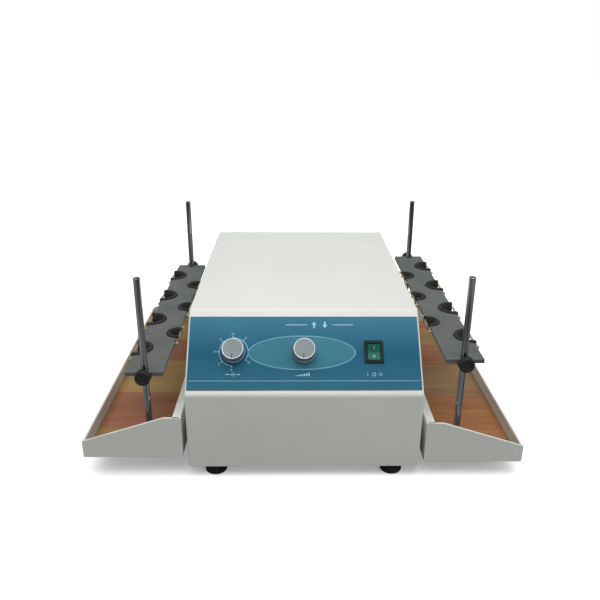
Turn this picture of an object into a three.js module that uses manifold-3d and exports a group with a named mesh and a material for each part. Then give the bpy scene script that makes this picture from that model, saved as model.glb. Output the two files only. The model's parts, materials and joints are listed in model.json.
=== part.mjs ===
// Vertical shaker: a sheet-metal cabinet with a sloped control panel and two side trays that ride up and
// down in opposite phase. Each tray carries two upright rods and a notched clamp bar that grips the necks of
// flasks. Millimetres, +Z up. The origin is on the table under the middle of the shaker, the front faces -Y,
// and +X is the operator's right.
import * as THREE from "three";
import { mergeVertices } from "three/addons/utils/BufferGeometryUtils.js";
import Module from "manifold-3d";

const wasm = await Module();
wasm.setup();

// ---- Driving dimensions --------------------------------------------------------------------------

const SHEET = 1.5; // sheet-metal thickness
const FIT = 0.3; // clearance between neighbouring pieces

const CABINET = { width: 300, depth: 460, height: 189, frontHeight: 104.5, slopeDepth: 78.5, bend: 4 };
const FOOT = { height: 16, radius: 13.5, round: 3, x: 116, y: 212 };
const FLOOR_PLATE = { lift: 1, thickness: 2 };
const BACK = { recess: 3, ventCount: 7, ventWidth: 3, ventHeight: 46, ventPitch: 9, ventX: 62, ventZ: 108 };

const LABEL = { halfWidth: 147.5, low: 6.5, high: 104.5, thickness: 0.6, lift: 0.1 };
const CONTROLS = { rowHeight: 56.5, timerX: -90, speedX: 0, switchX: 89, spindleRadius: 3, holeRadius: 4.5 };
const KNOB = { faceRadius: 14, skirtRadius: 15.5, skirtHeight: 3, height: 15, lift: 0.5, boreDepth: 9 };
const TIMER_BODY = { radius: 22, depth: 28 };
const SPEED_POT = { radius: 12, depth: 11 };
const SWITCH = { flangeX: 12.25, flangeY: 15, flangeHeight: 2, bodyX: 10.8, bodyY: 13.6, bodyDepth: 17 };
const ROCKER = { halfWidth: 8, halfLength: 10, endHeight: 3.5, midHeight: 1.6, pivotDepth: 1, tilt: 12 };
const ROCKER_POCKET = { halfWidth: 8.3, halfLength: 11.1, depth: 11.8 };

const TRAY = { inner: 156, outer: 284, innerHeight: 58, outerHeight: 24, endFlat: 22, flange: 11 };
const TRAY_LIFT = 10.2; // tray above the cabinet's underside at mid-stroke
const TRAY_PHASE = 4.3; // at rest the left tray stands this far above mid-stroke, the right one below
const MAT = { thickness: 2, margin: 0.6 };

const ROD = { x: 201, y: 207, radius: 4.25, chamfer: 0.8 };
const ROD_NUT = { radius: 7.5, height: 7, hole: 8.3 };
const ROD_TOP = { left: 237, right: 247 }; // rod top above the underside of its tray
const BAR = { halfWidth: 24, halfLength: 214.5, thickness: 6, holeRadius: 4.7 };
const BAR_TOP = { left: 129.5, right: 147 }; // top face above the cabinet's underside
const NOTCHES = { pitch: 99.5, setback: 4 }; // the setback is how far the pattern lies behind mid-bar
const OUTER_NOTCH = { radius: 21.5, inset: 1, steps: [-1.5, -0.5, 0.5, 1.5] };
const INNER_NOTCH = { radius: 16.5, inset: 0, steps: [-1, 0, 1] };
const END_BLOCK = { halfWidth: 9, length: 26, height: 4 };
const CLAMP_KNOB = { radius: 10, length: 10, chamfer: 1.2, gap: 1, drop: 4.5 };
const CLAMP_STUD = { radius: 2.5, hole: 3.1 };

const CRANK_RADIUS = 15; // half of the trays' stroke
const SHAFT = { radius: 8, halfLength: 103.5, z: 38 };
const CRANK = { radius: 26, inside: 96, outside: 104 };
const LINK = { inside: 107, outside: 113, length: 60, eye: 10, web: 7, pinRadius: 5 };
const BEARING = { x: 78, halfWidth: 10, radius: 17, baseHalf: 30, baseHeight: 8 };
const CARRIAGE = { inside: 118, outside: 124, halfLength: 92, low: 24, high: 112 };
const SLIDE_BLOCK = { outside: 144, halfLength: 12, low: 30, high: 80 };
const POST = { x: 134, y: 80, radius: 6 };
const HEAD = { halfWidth: 10, low: 132, high: 140 };
const ARM = { y: 40, halfWidth: 5, halfHeight: 8, z: 39.5, slotSlack: 2.5, slotReach: 3 };

const MOTOR = { y: -120, z: 44, radius: 32, face: 8, length: 88, shaftRadius: 5 };
const BRACKET = { inside: 4, halfWidth: 36, high: 82, footLength: 40, thickness: 3 };
const PULLEY = { inside: -20, outside: -8, flange: 2, flangeRise: 4.5, motorRadius: 11.2, shaftRadius: 28 };
const BELT = { thickness: 3, clearance: 0.3 };
const BOARD = { x: -136, y: -196, width: 92, depth: 62, lift: 8, thickness: 1.6 };
const INLET = { x: -92, z: 46, flangeX: 25, flangeZ: 15, socketX: 12.2, socketZ: 8.4, depth: 22, floor: 3 };
const FUSE = { x: -92, z: 84, radius: 7.5, bodyRadius: 6, length: 30, proud: 2.4 };

const SMOOTH = 32; // sides of a large round
const ROUND = 16; // sides of a small round
const BEND_CHORDS = 3; // chords in each sheet-metal bend

// ---- Derived places ------------------------------------------------------------------------------

const halfWidth = CABINET.width / 2;
const halfDepth = CABINET.depth / 2;
const underside = FOOT.height;
const slopeRise = CABINET.height - CABINET.frontHeight;
const slopeAngle = Math.atan2(slopeRise, CABINET.slopeDepth);
const plateTop = underside + FLOOR_PLATE.lift + FLOOR_PLATE.thickness;
const shaftZ = underside + SHAFT.z;
const motorZ = underside + MOTOR.z;
const pinReach = Math.sqrt(CRANK_RADIUS ** 2 - TRAY_PHASE ** 2);
const wristZ = shaftZ + Math.sqrt(LINK.length ** 2 - pinReach ** 2);
const sides = [
  { name: "left", sign: -1, phase: TRAY_PHASE },
  { name: "right", sign: 1, phase: -TRAY_PHASE },
];
const ends = [
  { name: "front", sign: -1 },
  { name: "rear", sign: 1 },
];

// ---- Materials -----------------------------------------------------------------------------------

const finish = (color, roughness, metalness) =>
  new THREE.MeshStandardMaterial({ color, roughness, metalness });
const POWDER_COAT = finish(0xe6e6df, 0.55, 0);
const LABEL_BLUE = finish(0x2e6f93, 0.35, 0);
const BLACK_RUBBER = finish(0x1b1b1c, 0.8, 0);
const BLACK_PLASTIC = finish(0x1a1b1d, 0.45, 0);
const SILVER = finish(0xb9bbbc, 0.35, 0.8);
const GREEN = finish(0x0d7a4b, 0.25, 0);
const STEEL = finish(0x8f9296, 0.3, 1);
const GREY_PVC = finish(0x74797b, 0.5, 0);
const WOOD_MAT = finish(0xa9714c, 0.5, 0);
const ALUMINIUM = finish(0xa8abae, 0.4, 1);
const BOARD_GREEN = finish(0x1f5c3a, 0.6, 0);

// ---- Shapes --------------------------------------------------------------------------------------

// A closed geometry as a solid that can be joined and cut.
function solid(geometry) {
  const bare = geometry.clone();
  bare.deleteAttribute("normal");
  bare.deleteAttribute("uv");
  const welded = mergeVertices(bare, 1e-4);
  const vertProperties = new Float32Array(welded.attributes.position.array);
  const triVerts = new Uint32Array(welded.index.array);
  return new wasm.Manifold(new wasm.Mesh({ numProp: 3, vertProperties, triVerts }));
}

function geometryOf(body) {
  const mesh = body.getMesh();
  const geometry = new THREE.BufferGeometry();
  const positions = new Float32Array(mesh.vertProperties);
  geometry.setAttribute("position", new THREE.BufferAttribute(positions, 3));
  geometry.setIndex(new THREE.BufferAttribute(new Uint32Array(mesh.triVerts), 1));
  geometry.computeVertexNormals();
  return geometry;
}

const join = (...shapes) => geometryOf(shapes.map(solid).reduce((whole, next) => whole.add(next)));
const cut = (shape, ...tools) =>
  geometryOf(tools.map(solid).reduce((rest, tool) => rest.subtract(tool), solid(shape)));
const common = (...shapes) => geometryOf(shapes.map(solid).reduce((whole, next) => whole.intersect(next)));

// A box between two opposite corners, whose coordinates may be given in either order.
function block(x0, x1, y0, y1, z0, z1) {
  const box = new THREE.BoxGeometry(Math.abs(x1 - x0), Math.abs(y1 - y0), Math.abs(z1 - z0));
  return box.translate((x0 + x1) / 2, (y0 + y1) / 2, (z0 + z1) / 2);
}

function roundAlongX(radius, x0, x1, y, z, sidesCount = ROUND) {
  const bar = new THREE.CylinderGeometry(radius, radius, Math.abs(x1 - x0), sidesCount);
  return bar.rotateZ(Math.PI / 2).translate((x0 + x1) / 2, y, z);
}

function roundAlongY(radius, y0, y1, x, z, sidesCount = ROUND) {
  const bar = new THREE.CylinderGeometry(radius, radius, Math.abs(y1 - y0), sidesCount);
  return bar.translate(x, (y0 + y1) / 2, z);
}

function roundAlongZ(radius, z0, z1, x, y, sidesCount = ROUND) {
  const bar = new THREE.CylinderGeometry(radius, radius, Math.abs(z1 - z0), sidesCount);
  return bar.rotateX(Math.PI / 2).translate(x, y, (z0 + z1) / 2);
}

// A solid of revolution about +Z from its [radius, height] outline.
function turned(outline, sidesCount = ROUND) {
  const points = outline.map(([r, h]) => new THREE.Vector2(r, h));
  return new THREE.LatheGeometry(points, sidesCount).rotateX(Math.PI / 2);
}

const flatShape = (corners) => new THREE.Shape(corners.map(([a, b]) => new THREE.Vector2(a, b)));

// An outline whose corners are given as [a, b, radius], with each radius drawn as an arc of short chords.
function filletedShape(corners) {
  return flatShape(corners.flatMap(([a, b, radius], i) => {
    if (!radius) return [[a, b]];
    const before = corners[(i + corners.length - 1) % corners.length];
    const after = corners[(i + 1) % corners.length];
    const here = new THREE.Vector2(a, b);
    const back = new THREE.Vector2(before[0] - a, before[1] - b).normalize();
    const on = new THREE.Vector2(after[0] - a, after[1] - b).normalize();
    const half = Math.acos(back.dot(on)) / 2;
    const centre = back.clone().add(on).setLength(radius / Math.sin(half)).add(here);
    const spoke = back.multiplyScalar(radius / Math.tan(half)).add(here).sub(centre);
    const sweep = Math.PI - 2 * half;
    const turn = Math.sign(spoke.cross(here.clone().sub(centre))) * (sweep / BEND_CHORDS);
    return Array.from({ length: BEND_CHORDS + 1 }, (_, k) => {
      const point = spoke.clone().rotateAround(new THREE.Vector2(), k * turn).add(centre);
      return [point.x, point.y];
    });
  }));
}

const extrude = (shape, depth, curveSegments = 1) =>
  new THREE.ExtrudeGeometry(shape, { depth, bevelEnabled: false, curveSegments });

// An outline in Y and Z, extruded from x0 to x1.
function prismX(shape, x0, x1, curveSegments) {
  const turn = new THREE.Matrix4().makeBasis(
    new THREE.Vector3(0, 1, 0),
    new THREE.Vector3(0, 0, 1),
    new THREE.Vector3(1, 0, 0),
  );
  const body = extrude(shape, Math.abs(x1 - x0), curveSegments);
  return body.applyMatrix4(turn).translate(Math.min(x0, x1), 0, 0);
}

// An outline in X and Z, extruded from y0 to y1.
const prismY = (shape, y0, y1) =>
  extrude(shape, Math.abs(y1 - y0)).rotateX(Math.PI / 2).translate(0, Math.max(y0, y1), 0);

// An outline in X and Y, extruded from z0 to z1.
const prismZ = (shape, z0, z1) => extrude(shape, Math.abs(z1 - z0)).translate(0, 0, Math.min(z0, z1));

function piece(name, geometry, material, parent) {
  const mesh = new THREE.Mesh(geometry, material);
  mesh.name = name;
  parent.add(mesh);
  return mesh;
}

// ---- The panel's own frame: origin at the lower bend, +Y up the slope, +Z out of the panel -------

const shaker = new THREE.Group();
const panel = new THREE.Group();
panel.position.set(0, -halfDepth, underside + CABINET.frontHeight);
panel.rotation.x = slopeAngle;
panel.updateMatrix();
shaker.add(panel);
const onPanel = (geometry) => geometry.applyMatrix4(panel.matrix);

// ---- Cabinet -------------------------------------------------------------------------------------

// The cabinet's outside, or with an inset the space inside its sheet, which runs out past the open back and
// bottom.
function cabinetBody(inset) {
  const out = inset ? SHEET * 4 : 0;
  const radius = Math.max(CABINET.bend - inset, 0.5);
  const top = underside + CABINET.height - inset;
  const lowerBend = underside + CABINET.frontHeight - inset * Math.tan(Math.PI / 4 - slopeAngle / 2);
  const upperBend = -halfDepth + CABINET.slopeDepth + inset * Math.tan(slopeAngle / 2);
  const side = [
    [-halfDepth + inset, underside - out],
    [-halfDepth + inset, lowerBend, radius],
    [upperBend, top, radius],
    [halfDepth + out, top],
    [halfDepth + out, underside - out],
  ];
  const front = [
    [-halfWidth + inset, underside - out],
    [-halfWidth + inset, top, radius],
    [halfWidth - inset, top, radius],
    [halfWidth - inset, underside - out],
  ];
  const plan = [
    [-halfWidth + inset, halfDepth + out],
    [-halfWidth + inset, -halfDepth + inset, radius],
    [halfWidth - inset, -halfDepth + inset, radius],
    [halfWidth - inset, halfDepth + out],
  ];
  return common(
    prismX(filletedShape(side), -halfWidth + inset, halfWidth - inset),
    prismY(filletedShape(front), -halfDepth + inset, halfDepth + out),
    prismZ(filletedShape(plan), underside - out, top),
  );
}

// The holes that the spindles and the switch need through the sloped panel, in the panel's frame.
const panelHoles = () => [
  roundAlongZ(CONTROLS.holeRadius, -4, 4, CONTROLS.timerX, CONTROLS.rowHeight),
  roundAlongZ(CONTROLS.holeRadius, -4, 4, CONTROLS.speedX, CONTROLS.rowHeight),
  block(-SWITCH.bodyX - FIT, SWITCH.bodyX + FIT, -SWITCH.bodyY - FIT, SWITCH.bodyY + FIT, -4, 4)
    .translate(CONTROLS.switchX, CONTROLS.rowHeight, 0),
];

// The upright slots in the side walls that the tray arms run in.
const armSlots = () =>
  sides.flatMap(({ sign }) =>
    ends.map((end) => {
      const halfY = ARM.halfWidth + ARM.slotSlack;
      const halfZ = ARM.halfHeight + CRANK_RADIUS + ARM.slotReach;
      const centreZ = underside + ARM.z;
      const x = sign * halfWidth;
      const y = end.sign * ARM.y;
      const low = centreZ - halfZ;
      return block(x - SHEET * 2, x + SHEET * 2, y - halfY, y + halfY, low, centreZ + halfZ);
    }),
  );

function buildCabinet() {
  const shell = cut(cabinetBody(0), cabinetBody(SHEET));
  piece("hood", cut(shell, ...panelHoles().map(onPanel), ...armSlots()), POWDER_COAT, shaker);

  const inside = halfWidth - SHEET - FIT;
  const front = -halfDepth + SHEET + FIT;
  const rear = halfDepth - BACK.recess - SHEET - FIT;
  const floorLow = underside + FLOOR_PLATE.lift;
  const corner = CABINET.bend;
  const floorPlan = [
    [-inside, front, corner],
    [inside, front, corner],
    [inside, rear],
    [-inside, rear],
  ];
  piece("base_plate", prismZ(filletedShape(floorPlan), floorLow, plateTop), POWDER_COAT, shaker);

  const backTop = underside + CABINET.height - SHEET - FIT;
  const backOutline = [
    [-inside, floorLow],
    [inside, floorLow],
    [inside, backTop, corner],
    [-inside, backTop, corner],
  ];
  const backFace = halfDepth - BACK.recess;
  const backSheet = prismY(filletedShape(backOutline), backFace - SHEET, backFace);
  const vents = Array.from({ length: BACK.ventCount }, (_, i) => {
    const x = BACK.ventX + (i - (BACK.ventCount - 1) / 2) * BACK.ventPitch;
    const z = underside + BACK.ventZ;
    const halfSlot = BACK.ventWidth / 2;
    const halfHeight = BACK.ventHeight / 2;
    return block(x - halfSlot, x + halfSlot, rear - 5, halfDepth, z - halfHeight, z + halfHeight);
  });
  const inletHole = block(
    INLET.x - INLET.flangeX + 7,
    INLET.x + INLET.flangeX - 7,
    rear - 5,
    halfDepth,
    underside + INLET.z - INLET.flangeZ + 3,
    underside + INLET.z + INLET.flangeZ - 3,
  );
  const fuseHole = roundAlongY(FUSE.bodyRadius + FIT, rear - 5, halfDepth, FUSE.x, underside + FUSE.z);
  piece("back_panel", cut(backSheet, ...vents, inletHole, fuseHole), POWDER_COAT, shaker);

  for (const side of sides)
    for (const end of ends) {
      const top = floorLow - FIT;
      const foot = turned([
        [0, 0],
        [FOOT.radius - FOOT.round, 0],
        [FOOT.radius - FOOT.round * 0.3, FOOT.round * 0.3],
        [FOOT.radius, FOOT.round],
        [FOOT.radius, top],
        [0, top],
      ]);
      const mesh = piece(`foot_${end.name}_${side.name}`, foot, BLACK_RUBBER, shaker);
      mesh.position.set(side.sign * FOOT.x, end.sign * FOOT.y, 0);
    }
}

// ---- Control panel -------------------------------------------------------------------------------

function buildKnob(name, x) {
  const body = turned([
    [0, 0],
    [KNOB.skirtRadius, 0],
    [KNOB.skirtRadius, KNOB.skirtHeight],
    [KNOB.faceRadius + 0.6, KNOB.skirtHeight + 0.8],
    [KNOB.faceRadius, KNOB.height - 0.8],
    [KNOB.faceRadius - 0.8, KNOB.height],
    [0, KNOB.height],
  ], SMOOTH);
  const bore = roundAlongZ(CONTROLS.spindleRadius + FIT, -1, KNOB.boreDepth, 0, 0);
  const mesh = piece(name, cut(body, bore), SILVER, panel);
  mesh.position.set(x, CONTROLS.rowHeight, LABEL.lift + LABEL.thickness + KNOB.lift);
}

// A round control behind the panel, with its spindle standing out through the panel into the knob.
function buildControlBody(name, x, { radius, depth }) {
  const behind = -SHEET - FIT;
  const body = join(
    roundAlongZ(radius, behind - depth, behind, 0, 0),
    roundAlongZ(CONTROLS.spindleRadius, behind - 1, KNOB.boreDepth - FIT, 0, 0),
  );
  piece(name, body, BLACK_PLASTIC, panel).position.set(x, CONTROLS.rowHeight, 0);
}

function buildSwitch() {
  const seat = LABEL.lift + LABEL.thickness + FIT;
  const { halfWidth: pocketX, halfLength: pocketY, depth } = ROCKER_POCKET;
  const housing = join(
    block(-SWITCH.flangeX, SWITCH.flangeX, -SWITCH.flangeY, SWITCH.flangeY, 0, SWITCH.flangeHeight),
    block(-SWITCH.bodyX, SWITCH.bodyX, -SWITCH.bodyY, SWITCH.bodyY, -SWITCH.bodyDepth, 1),
  );
  const pocket = block(-pocketX, pocketX, -pocketY, pocketY, -depth, SWITCH.flangeHeight + 1);
  const bezel = piece("switch_bezel", cut(housing, pocket), BLACK_PLASTIC, panel);
  bezel.position.set(CONTROLS.switchX, CONTROLS.rowHeight, seat);

  // The rocker's outline is drawn about its pivot: two sloping halves on top and a round belly below.
  const end = ROCKER.endHeight + ROCKER.pivotDepth;
  const outline = new THREE.Shape();
  outline.moveTo(ROCKER.halfLength, 0);
  outline.lineTo(ROCKER.halfLength, end);
  outline.lineTo(0, ROCKER.midHeight + ROCKER.pivotDepth);
  outline.lineTo(-ROCKER.halfLength, end);
  outline.absarc(0, 0, ROCKER.halfLength, Math.PI, 2 * Math.PI, false);
  const rocker = prismX(outline, -ROCKER.halfWidth, ROCKER.halfWidth, ROUND / 2);
  const mesh = piece("switch_rocker", rocker, GREEN, panel);
  mesh.position.set(CONTROLS.switchX, CONTROLS.rowHeight, seat - ROCKER.pivotDepth);
  mesh.rotation.x = THREE.MathUtils.degToRad(ROCKER.tilt);
}

function buildPanel() {
  const { halfWidth: reach, low, high, lift, thickness } = LABEL;
  piece(
    "panel_label",
    cut(block(-reach, reach, low, high, lift, lift + thickness), ...panelHoles()),
    LABEL_BLUE,
    panel,
  );
  buildKnob("timer_knob", CONTROLS.timerX);
  buildKnob("speed_knob", CONTROLS.speedX);
  buildControlBody("timer_movement", CONTROLS.timerX, TIMER_BODY);
  buildControlBody("speed_potentiometer", CONTROLS.speedX, SPEED_POT);
  buildSwitch();
}

// ---- Back fittings and electronics ---------------------------------------------------------------

function buildElectrics() {
  const skin = halfDepth - BACK.recess + FIT;
  const inletZ = underside + INLET.z;
  const outside = halfDepth - 0.2;
  const inletBody = join(
    block(-INLET.flangeX, INLET.flangeX, skin, outside, -INLET.flangeZ, INLET.flangeZ),
    block(
      -INLET.socketX - 2,
      INLET.socketX + 2,
      outside - INLET.depth,
      outside - 1,
      -INLET.socketZ - 2,
      INLET.socketZ + 2,
    ),
  );
  const socket = block(
    -INLET.socketX,
    INLET.socketX,
    outside - INLET.depth + INLET.floor,
    halfDepth + 1,
    -INLET.socketZ,
    INLET.socketZ,
  );
  const inlet = piece("power_inlet", cut(inletBody, socket), BLACK_PLASTIC, shaker);
  inlet.position.set(INLET.x, 0, inletZ);

  const fuse = join(
    roundAlongY(FUSE.radius, skin, skin + FUSE.proud, 0, 0),
    roundAlongY(FUSE.bodyRadius, skin - FUSE.length, skin + 1, 0, 0),
  );
  const holder = piece("fuse_holder", fuse, BLACK_PLASTIC, shaker);
  holder.position.set(FUSE.x, 0, underside + FUSE.z);

  // The speed controller: a board on four standoffs with a heat sink, two capacitors and a relay.
  const top = BOARD.thickness + BOARD.lift;
  const standoffs = [5, BOARD.width - 5].flatMap((x) =>
    [5, BOARD.depth - 5].map((y) => roundAlongZ(3, 0, BOARD.lift + 0.5, x, y, 12)),
  );
  const board = join(
    block(0, BOARD.width, 0, BOARD.depth, BOARD.lift, top),
    ...standoffs,
    block(10, 40, 12, 28, top - 0.5, top + 22),
    block(56, 76, 12, 28, top - 0.5, top + 15),
    roundAlongZ(7, top - 0.5, top + 20, 20, 46),
    roundAlongZ(7, top - 0.5, top + 20, 40, 46),
  );
  const mounted = piece("control_board", board, BOARD_GREEN, shaker);
  mounted.position.set(BOARD.x, BOARD.y, plateTop + FIT);
}

// ---- Drive: motor, belt, cross shaft, cranks and links -------------------------------------------

// A pulley about the X axis: two flanges with the belt seat between them.
function pulleyBody(seatRadius) {
  const { inside, outside, flange, flangeRise } = PULLEY;
  return join(
    roundAlongX(seatRadius + flangeRise, inside, inside + flange, 0, 0, SMOOTH),
    roundAlongX(seatRadius, inside + flange - 0.5, outside - flange + 0.5, 0, 0, SMOOTH),
    roundAlongX(seatRadius + flangeRise, outside - flange, outside, 0, 0, SMOOTH),
  );
}

// The outline that wraps two pulleys, each given as its place in Y and Z and its radius.
function wrapOutline(small, large, extra) {
  const run = Math.atan2(large.z - small.z, large.y - small.y);
  const distance = Math.hypot(large.y - small.y, large.z - small.z);
  const lean = Math.acos((small.radius - large.radius) / distance);
  const outline = new THREE.Shape();
  outline.absarc(large.y, large.z, large.radius + extra, run - lean, run + lean, false);
  outline.absarc(small.y, small.z, small.radius + extra, run + lean, run - lean + 2 * Math.PI, false);
  outline.closePath();
  return outline;
}

function buildDrive() {
  const motorEnd = MOTOR.face + MOTOR.length;
  const motor = cut(
    join(
      roundAlongX(MOTOR.radius, MOTOR.face, motorEnd, 0, 0, SMOOTH),
      block(MOTOR.face + 14, motorEnd - 14, -22, 22, plateTop + FIT - motorZ, -20),
    ),
    roundAlongX(MOTOR.shaftRadius + FIT, MOTOR.face - 1, MOTOR.face + 13, 0, 0),
  );
  piece("motor", motor, ALUMINIUM, shaker).position.set(0, MOTOR.y, motorZ);

  const { inside, halfWidth: halfBracket, footLength, thickness } = BRACKET;
  const bracketFace = MOTOR.face - FIT;
  const bracketLow = plateTop + FIT;
  const bracketHigh = underside + BRACKET.high;
  const flangeHigh = bracketLow + thickness;
  const bracket = cut(
    join(
      block(inside, bracketFace, -halfBracket, halfBracket, bracketLow, bracketHigh),
      block(inside - footLength, bracketFace, -halfBracket, halfBracket, bracketLow, flangeHigh),
    ),
    roundAlongX(MOTOR.shaftRadius + 3, inside - 1, bracketFace + 1, 0, motorZ),
  );
  piece("motor_bracket", bracket, STEEL, shaker).position.set(0, MOTOR.y, 0);

  const motorPulley = join(
    pulleyBody(PULLEY.motorRadius),
    roundAlongX(MOTOR.shaftRadius, PULLEY.inside - 2, MOTOR.face + 12, 0, 0),
  );
  piece("motor_pulley", motorPulley, STEEL, shaker).position.set(0, MOTOR.y, motorZ);

  const bore = roundAlongX(SHAFT.radius + FIT, -200, 200, 0, 0);
  const shaftPulley = cut(pulleyBody(PULLEY.shaftRadius), bore);
  piece("shaft_pulley", shaftPulley, ALUMINIUM, shaker).position.set(0, 0, shaftZ);

  const small = { y: MOTOR.y, z: motorZ, radius: PULLEY.motorRadius };
  const large = { y: 0, z: shaftZ, radius: PULLEY.shaftRadius };
  const beltFrom = PULLEY.inside + PULLEY.flange + BELT.clearance;
  const beltTo = PULLEY.outside - PULLEY.flange - BELT.clearance;
  const belt = cut(
    prismX(wrapOutline(small, large, BELT.clearance + BELT.thickness), beltFrom, beltTo, ROUND / 2),
    prismX(wrapOutline(small, large, BELT.clearance), beltFrom - 1, beltTo + 1, ROUND / 2),
  );
  piece("drive_belt", belt, BLACK_RUBBER, shaker);

  const shaft = roundAlongX(SHAFT.radius, -SHAFT.halfLength, SHAFT.halfLength, 0, 0);
  piece("main_shaft", shaft, STEEL, shaker).position.set(0, 0, shaftZ);

  for (const { name, sign } of sides) {
    const foot = plateTop + FIT - shaftZ;
    const { x, halfWidth: halfX, radius, baseHalf, baseHeight } = BEARING;
    const housing = cut(
      join(
        block(-halfX, halfX, -baseHalf, baseHalf, foot, foot + baseHeight),
        block(-halfX, halfX, -radius, radius, foot + 1, 0),
        roundAlongX(radius, -halfX, halfX, 0, 0, SMOOTH),
      ),
      bore,
    );
    piece(`shaft_bearing_${name}`, housing, STEEL, shaker).position.set(sign * x, 0, shaftZ);

    const disc = roundAlongX(CRANK.radius, sign * CRANK.inside, sign * CRANK.outside, 0, 0, SMOOTH);
    piece(`crank_disc_${name}`, cut(disc, bore), STEEL, shaker).position.set(0, 0, shaftZ);
  }
}

// The connecting rod between a crank and its carriage. It carries the crank pin, which stops short of the
// disc.
function buildLink({ name, sign, phase }) {
  const pinY = sign * pinReach;
  const pinZ = shaftZ + phase;
  const topZ = wristZ + phase;
  const small = { y: 0, z: topZ, radius: LINK.eye - 0.01 };
  const large = { y: pinY, z: pinZ, radius: LINK.eye };
  const web = flatShape([
    [-LINK.web, topZ],
    [LINK.web, topZ],
    [pinY + LINK.web, pinZ],
    [pinY - LINK.web, pinZ],
  ]);
  const from = sign * LINK.inside;
  const to = sign * LINK.outside;
  const body = join(
    roundAlongX(small.radius, from, to, small.y, small.z),
    roundAlongX(large.radius, from, to, large.y, large.z),
    prismX(web, from, to),
    roundAlongX(LINK.pinRadius, sign * (CRANK.outside + 2 * FIT), sign * (LINK.inside + 1), pinY, pinZ),
  );
  const wristBore = roundAlongX(LINK.pinRadius + FIT, from - 2 * sign, to + 2 * sign, 0, topZ);
  piece(`connecting_rod_${name}`, cut(body, wristBore), STEEL, shaker);
}

// ---- Carriages and their guides ------------------------------------------------------------------

function buildGuides({ name, sign }) {
  const x = sign * POST.x;
  const low = underside + HEAD.low;
  const high = underside + HEAD.high;
  const holes = [];
  for (const end of ends) {
    const y = end.sign * POST.y;
    const post = roundAlongZ(POST.radius, plateTop + FIT, high, x, y);
    piece(`guide_post_${end.name}_${name}`, post, STEEL, shaker);
    holes.push(roundAlongZ(POST.radius + FIT, low - 1, high + 1, x, y));
  }
  const reach = CARRIAGE.halfLength;
  const head = block(x - HEAD.halfWidth, x + HEAD.halfWidth, -reach, reach, low, high);
  piece(`guide_head_${name}`, cut(head, ...holes), ALUMINIUM, shaker);
}

function buildCarriage({ name, sign }, tray) {
  const plateX = [sign * CARRIAGE.inside, sign * CARRIAGE.outside];
  const blocks = ends.map((end) => {
    const y = end.sign * POST.y;
    const { outside, halfLength, low, high } = SLIDE_BLOCK;
    return block(plateX[1] - sign, sign * outside, y - halfLength, y + halfLength, low, high);
  });
  const pinFrom = sign * (LINK.inside - 1);
  const wristPin = roundAlongX(LINK.pinRadius, pinFrom, plateX[0] + sign, 0, wristZ - underside);
  const solidCarriage = join(
    block(...plateX, -CARRIAGE.halfLength, CARRIAGE.halfLength, CARRIAGE.low, CARRIAGE.high),
    ...blocks,
    wristPin,
  );
  const bores = ends.map((end) =>
    roundAlongZ(POST.radius + FIT, 0, 200, sign * POST.x, end.sign * POST.y),
  );
  const carriage = piece(`carriage_${name}`, cut(solidCarriage, ...bores), ALUMINIUM, tray);
  carriage.position.z = underside;

  for (const end of ends) {
    const y = end.sign * ARM.y;
    const z = underside + ARM.z;
    const arm = block(
      plateX[1] + sign * FIT,
      sign * (TRAY.inner - FIT),
      y - ARM.halfWidth,
      y + ARM.halfWidth,
      z - ARM.halfHeight,
      z + ARM.halfHeight,
    );
    piece(`tray_arm_${end.name}_${name}`, arm, STEEL, tray);
  }
}

// ---- Trays ---------------------------------------------------------------------------------------

// A tray's folded sheet: floor, low outer wall, high inner wall with a turned-in flange, and two raked end
// walls.
function buildTray({ name, sign }, tray) {
  const inner = sign * TRAY.inner;
  const outer = sign * TRAY.outer;
  const innerFace = inner + sign * SHEET;
  const flangeEdge = inner + sign * TRAY.flange;
  const outerFace = outer - sign * SHEET;
  const endWall = flatShape([
    [inner, 0],
    [outer, 0],
    [outer, TRAY.outerHeight],
    [inner + sign * TRAY.endFlat, TRAY.innerHeight],
    [inner, TRAY.innerHeight],
  ]);
  const sheet = join(
    block(inner, outer, -halfDepth, halfDepth, 0, SHEET),
    block(inner, innerFace, -halfDepth, halfDepth, 0, TRAY.innerHeight),
    block(inner, flangeEdge, -halfDepth, halfDepth, TRAY.innerHeight - SHEET, TRAY.innerHeight),
    block(outerFace, outer, -halfDepth, halfDepth, 0, TRAY.outerHeight),
    prismY(endWall, -halfDepth, -halfDepth + SHEET),
    prismY(endWall, halfDepth - SHEET, halfDepth),
  );
  const lift = underside + TRAY_LIFT;
  piece(`tray_${name}`, sheet, POWDER_COAT, tray).position.z = lift;

  const matLow = SHEET + FIT;
  const matTop = matLow + MAT.thickness;
  const halfMat = halfDepth - SHEET - MAT.margin;
  const matSheet = block(
    innerFace + sign * MAT.margin,
    outerFace - sign * MAT.margin,
    -halfMat,
    halfMat,
    matLow,
    matTop,
  );
  const nutHoles = ends.map((end) =>
    roundAlongZ(ROD_NUT.hole, 0, matTop + 1, sign * ROD.x, end.sign * ROD.y),
  );
  piece(`tray_mat_${name}`, cut(matSheet, ...nutHoles), WOOD_MAT, tray).position.z = lift;

  for (const end of ends) {
    const top = ROD_TOP[name];
    const shank = turned([
      [0, matLow],
      [ROD.radius, matLow],
      [ROD.radius, top - ROD.chamfer],
      [ROD.radius - ROD.chamfer, top],
      [0, top],
    ]);
    const nut = new THREE.CylinderGeometry(ROD_NUT.radius, ROD_NUT.radius, ROD_NUT.height, 6)
      .rotateX(Math.PI / 2)
      .translate(0, 0, matLow + ROD_NUT.height / 2);
    const mesh = piece(`support_rod_${end.name}_${name}`, join(shank, nut), STEEL, tray);
    mesh.position.set(sign * ROD.x, end.sign * ROD.y, lift);
  }
}

// ---- Clamp bars ----------------------------------------------------------------------------------

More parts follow.
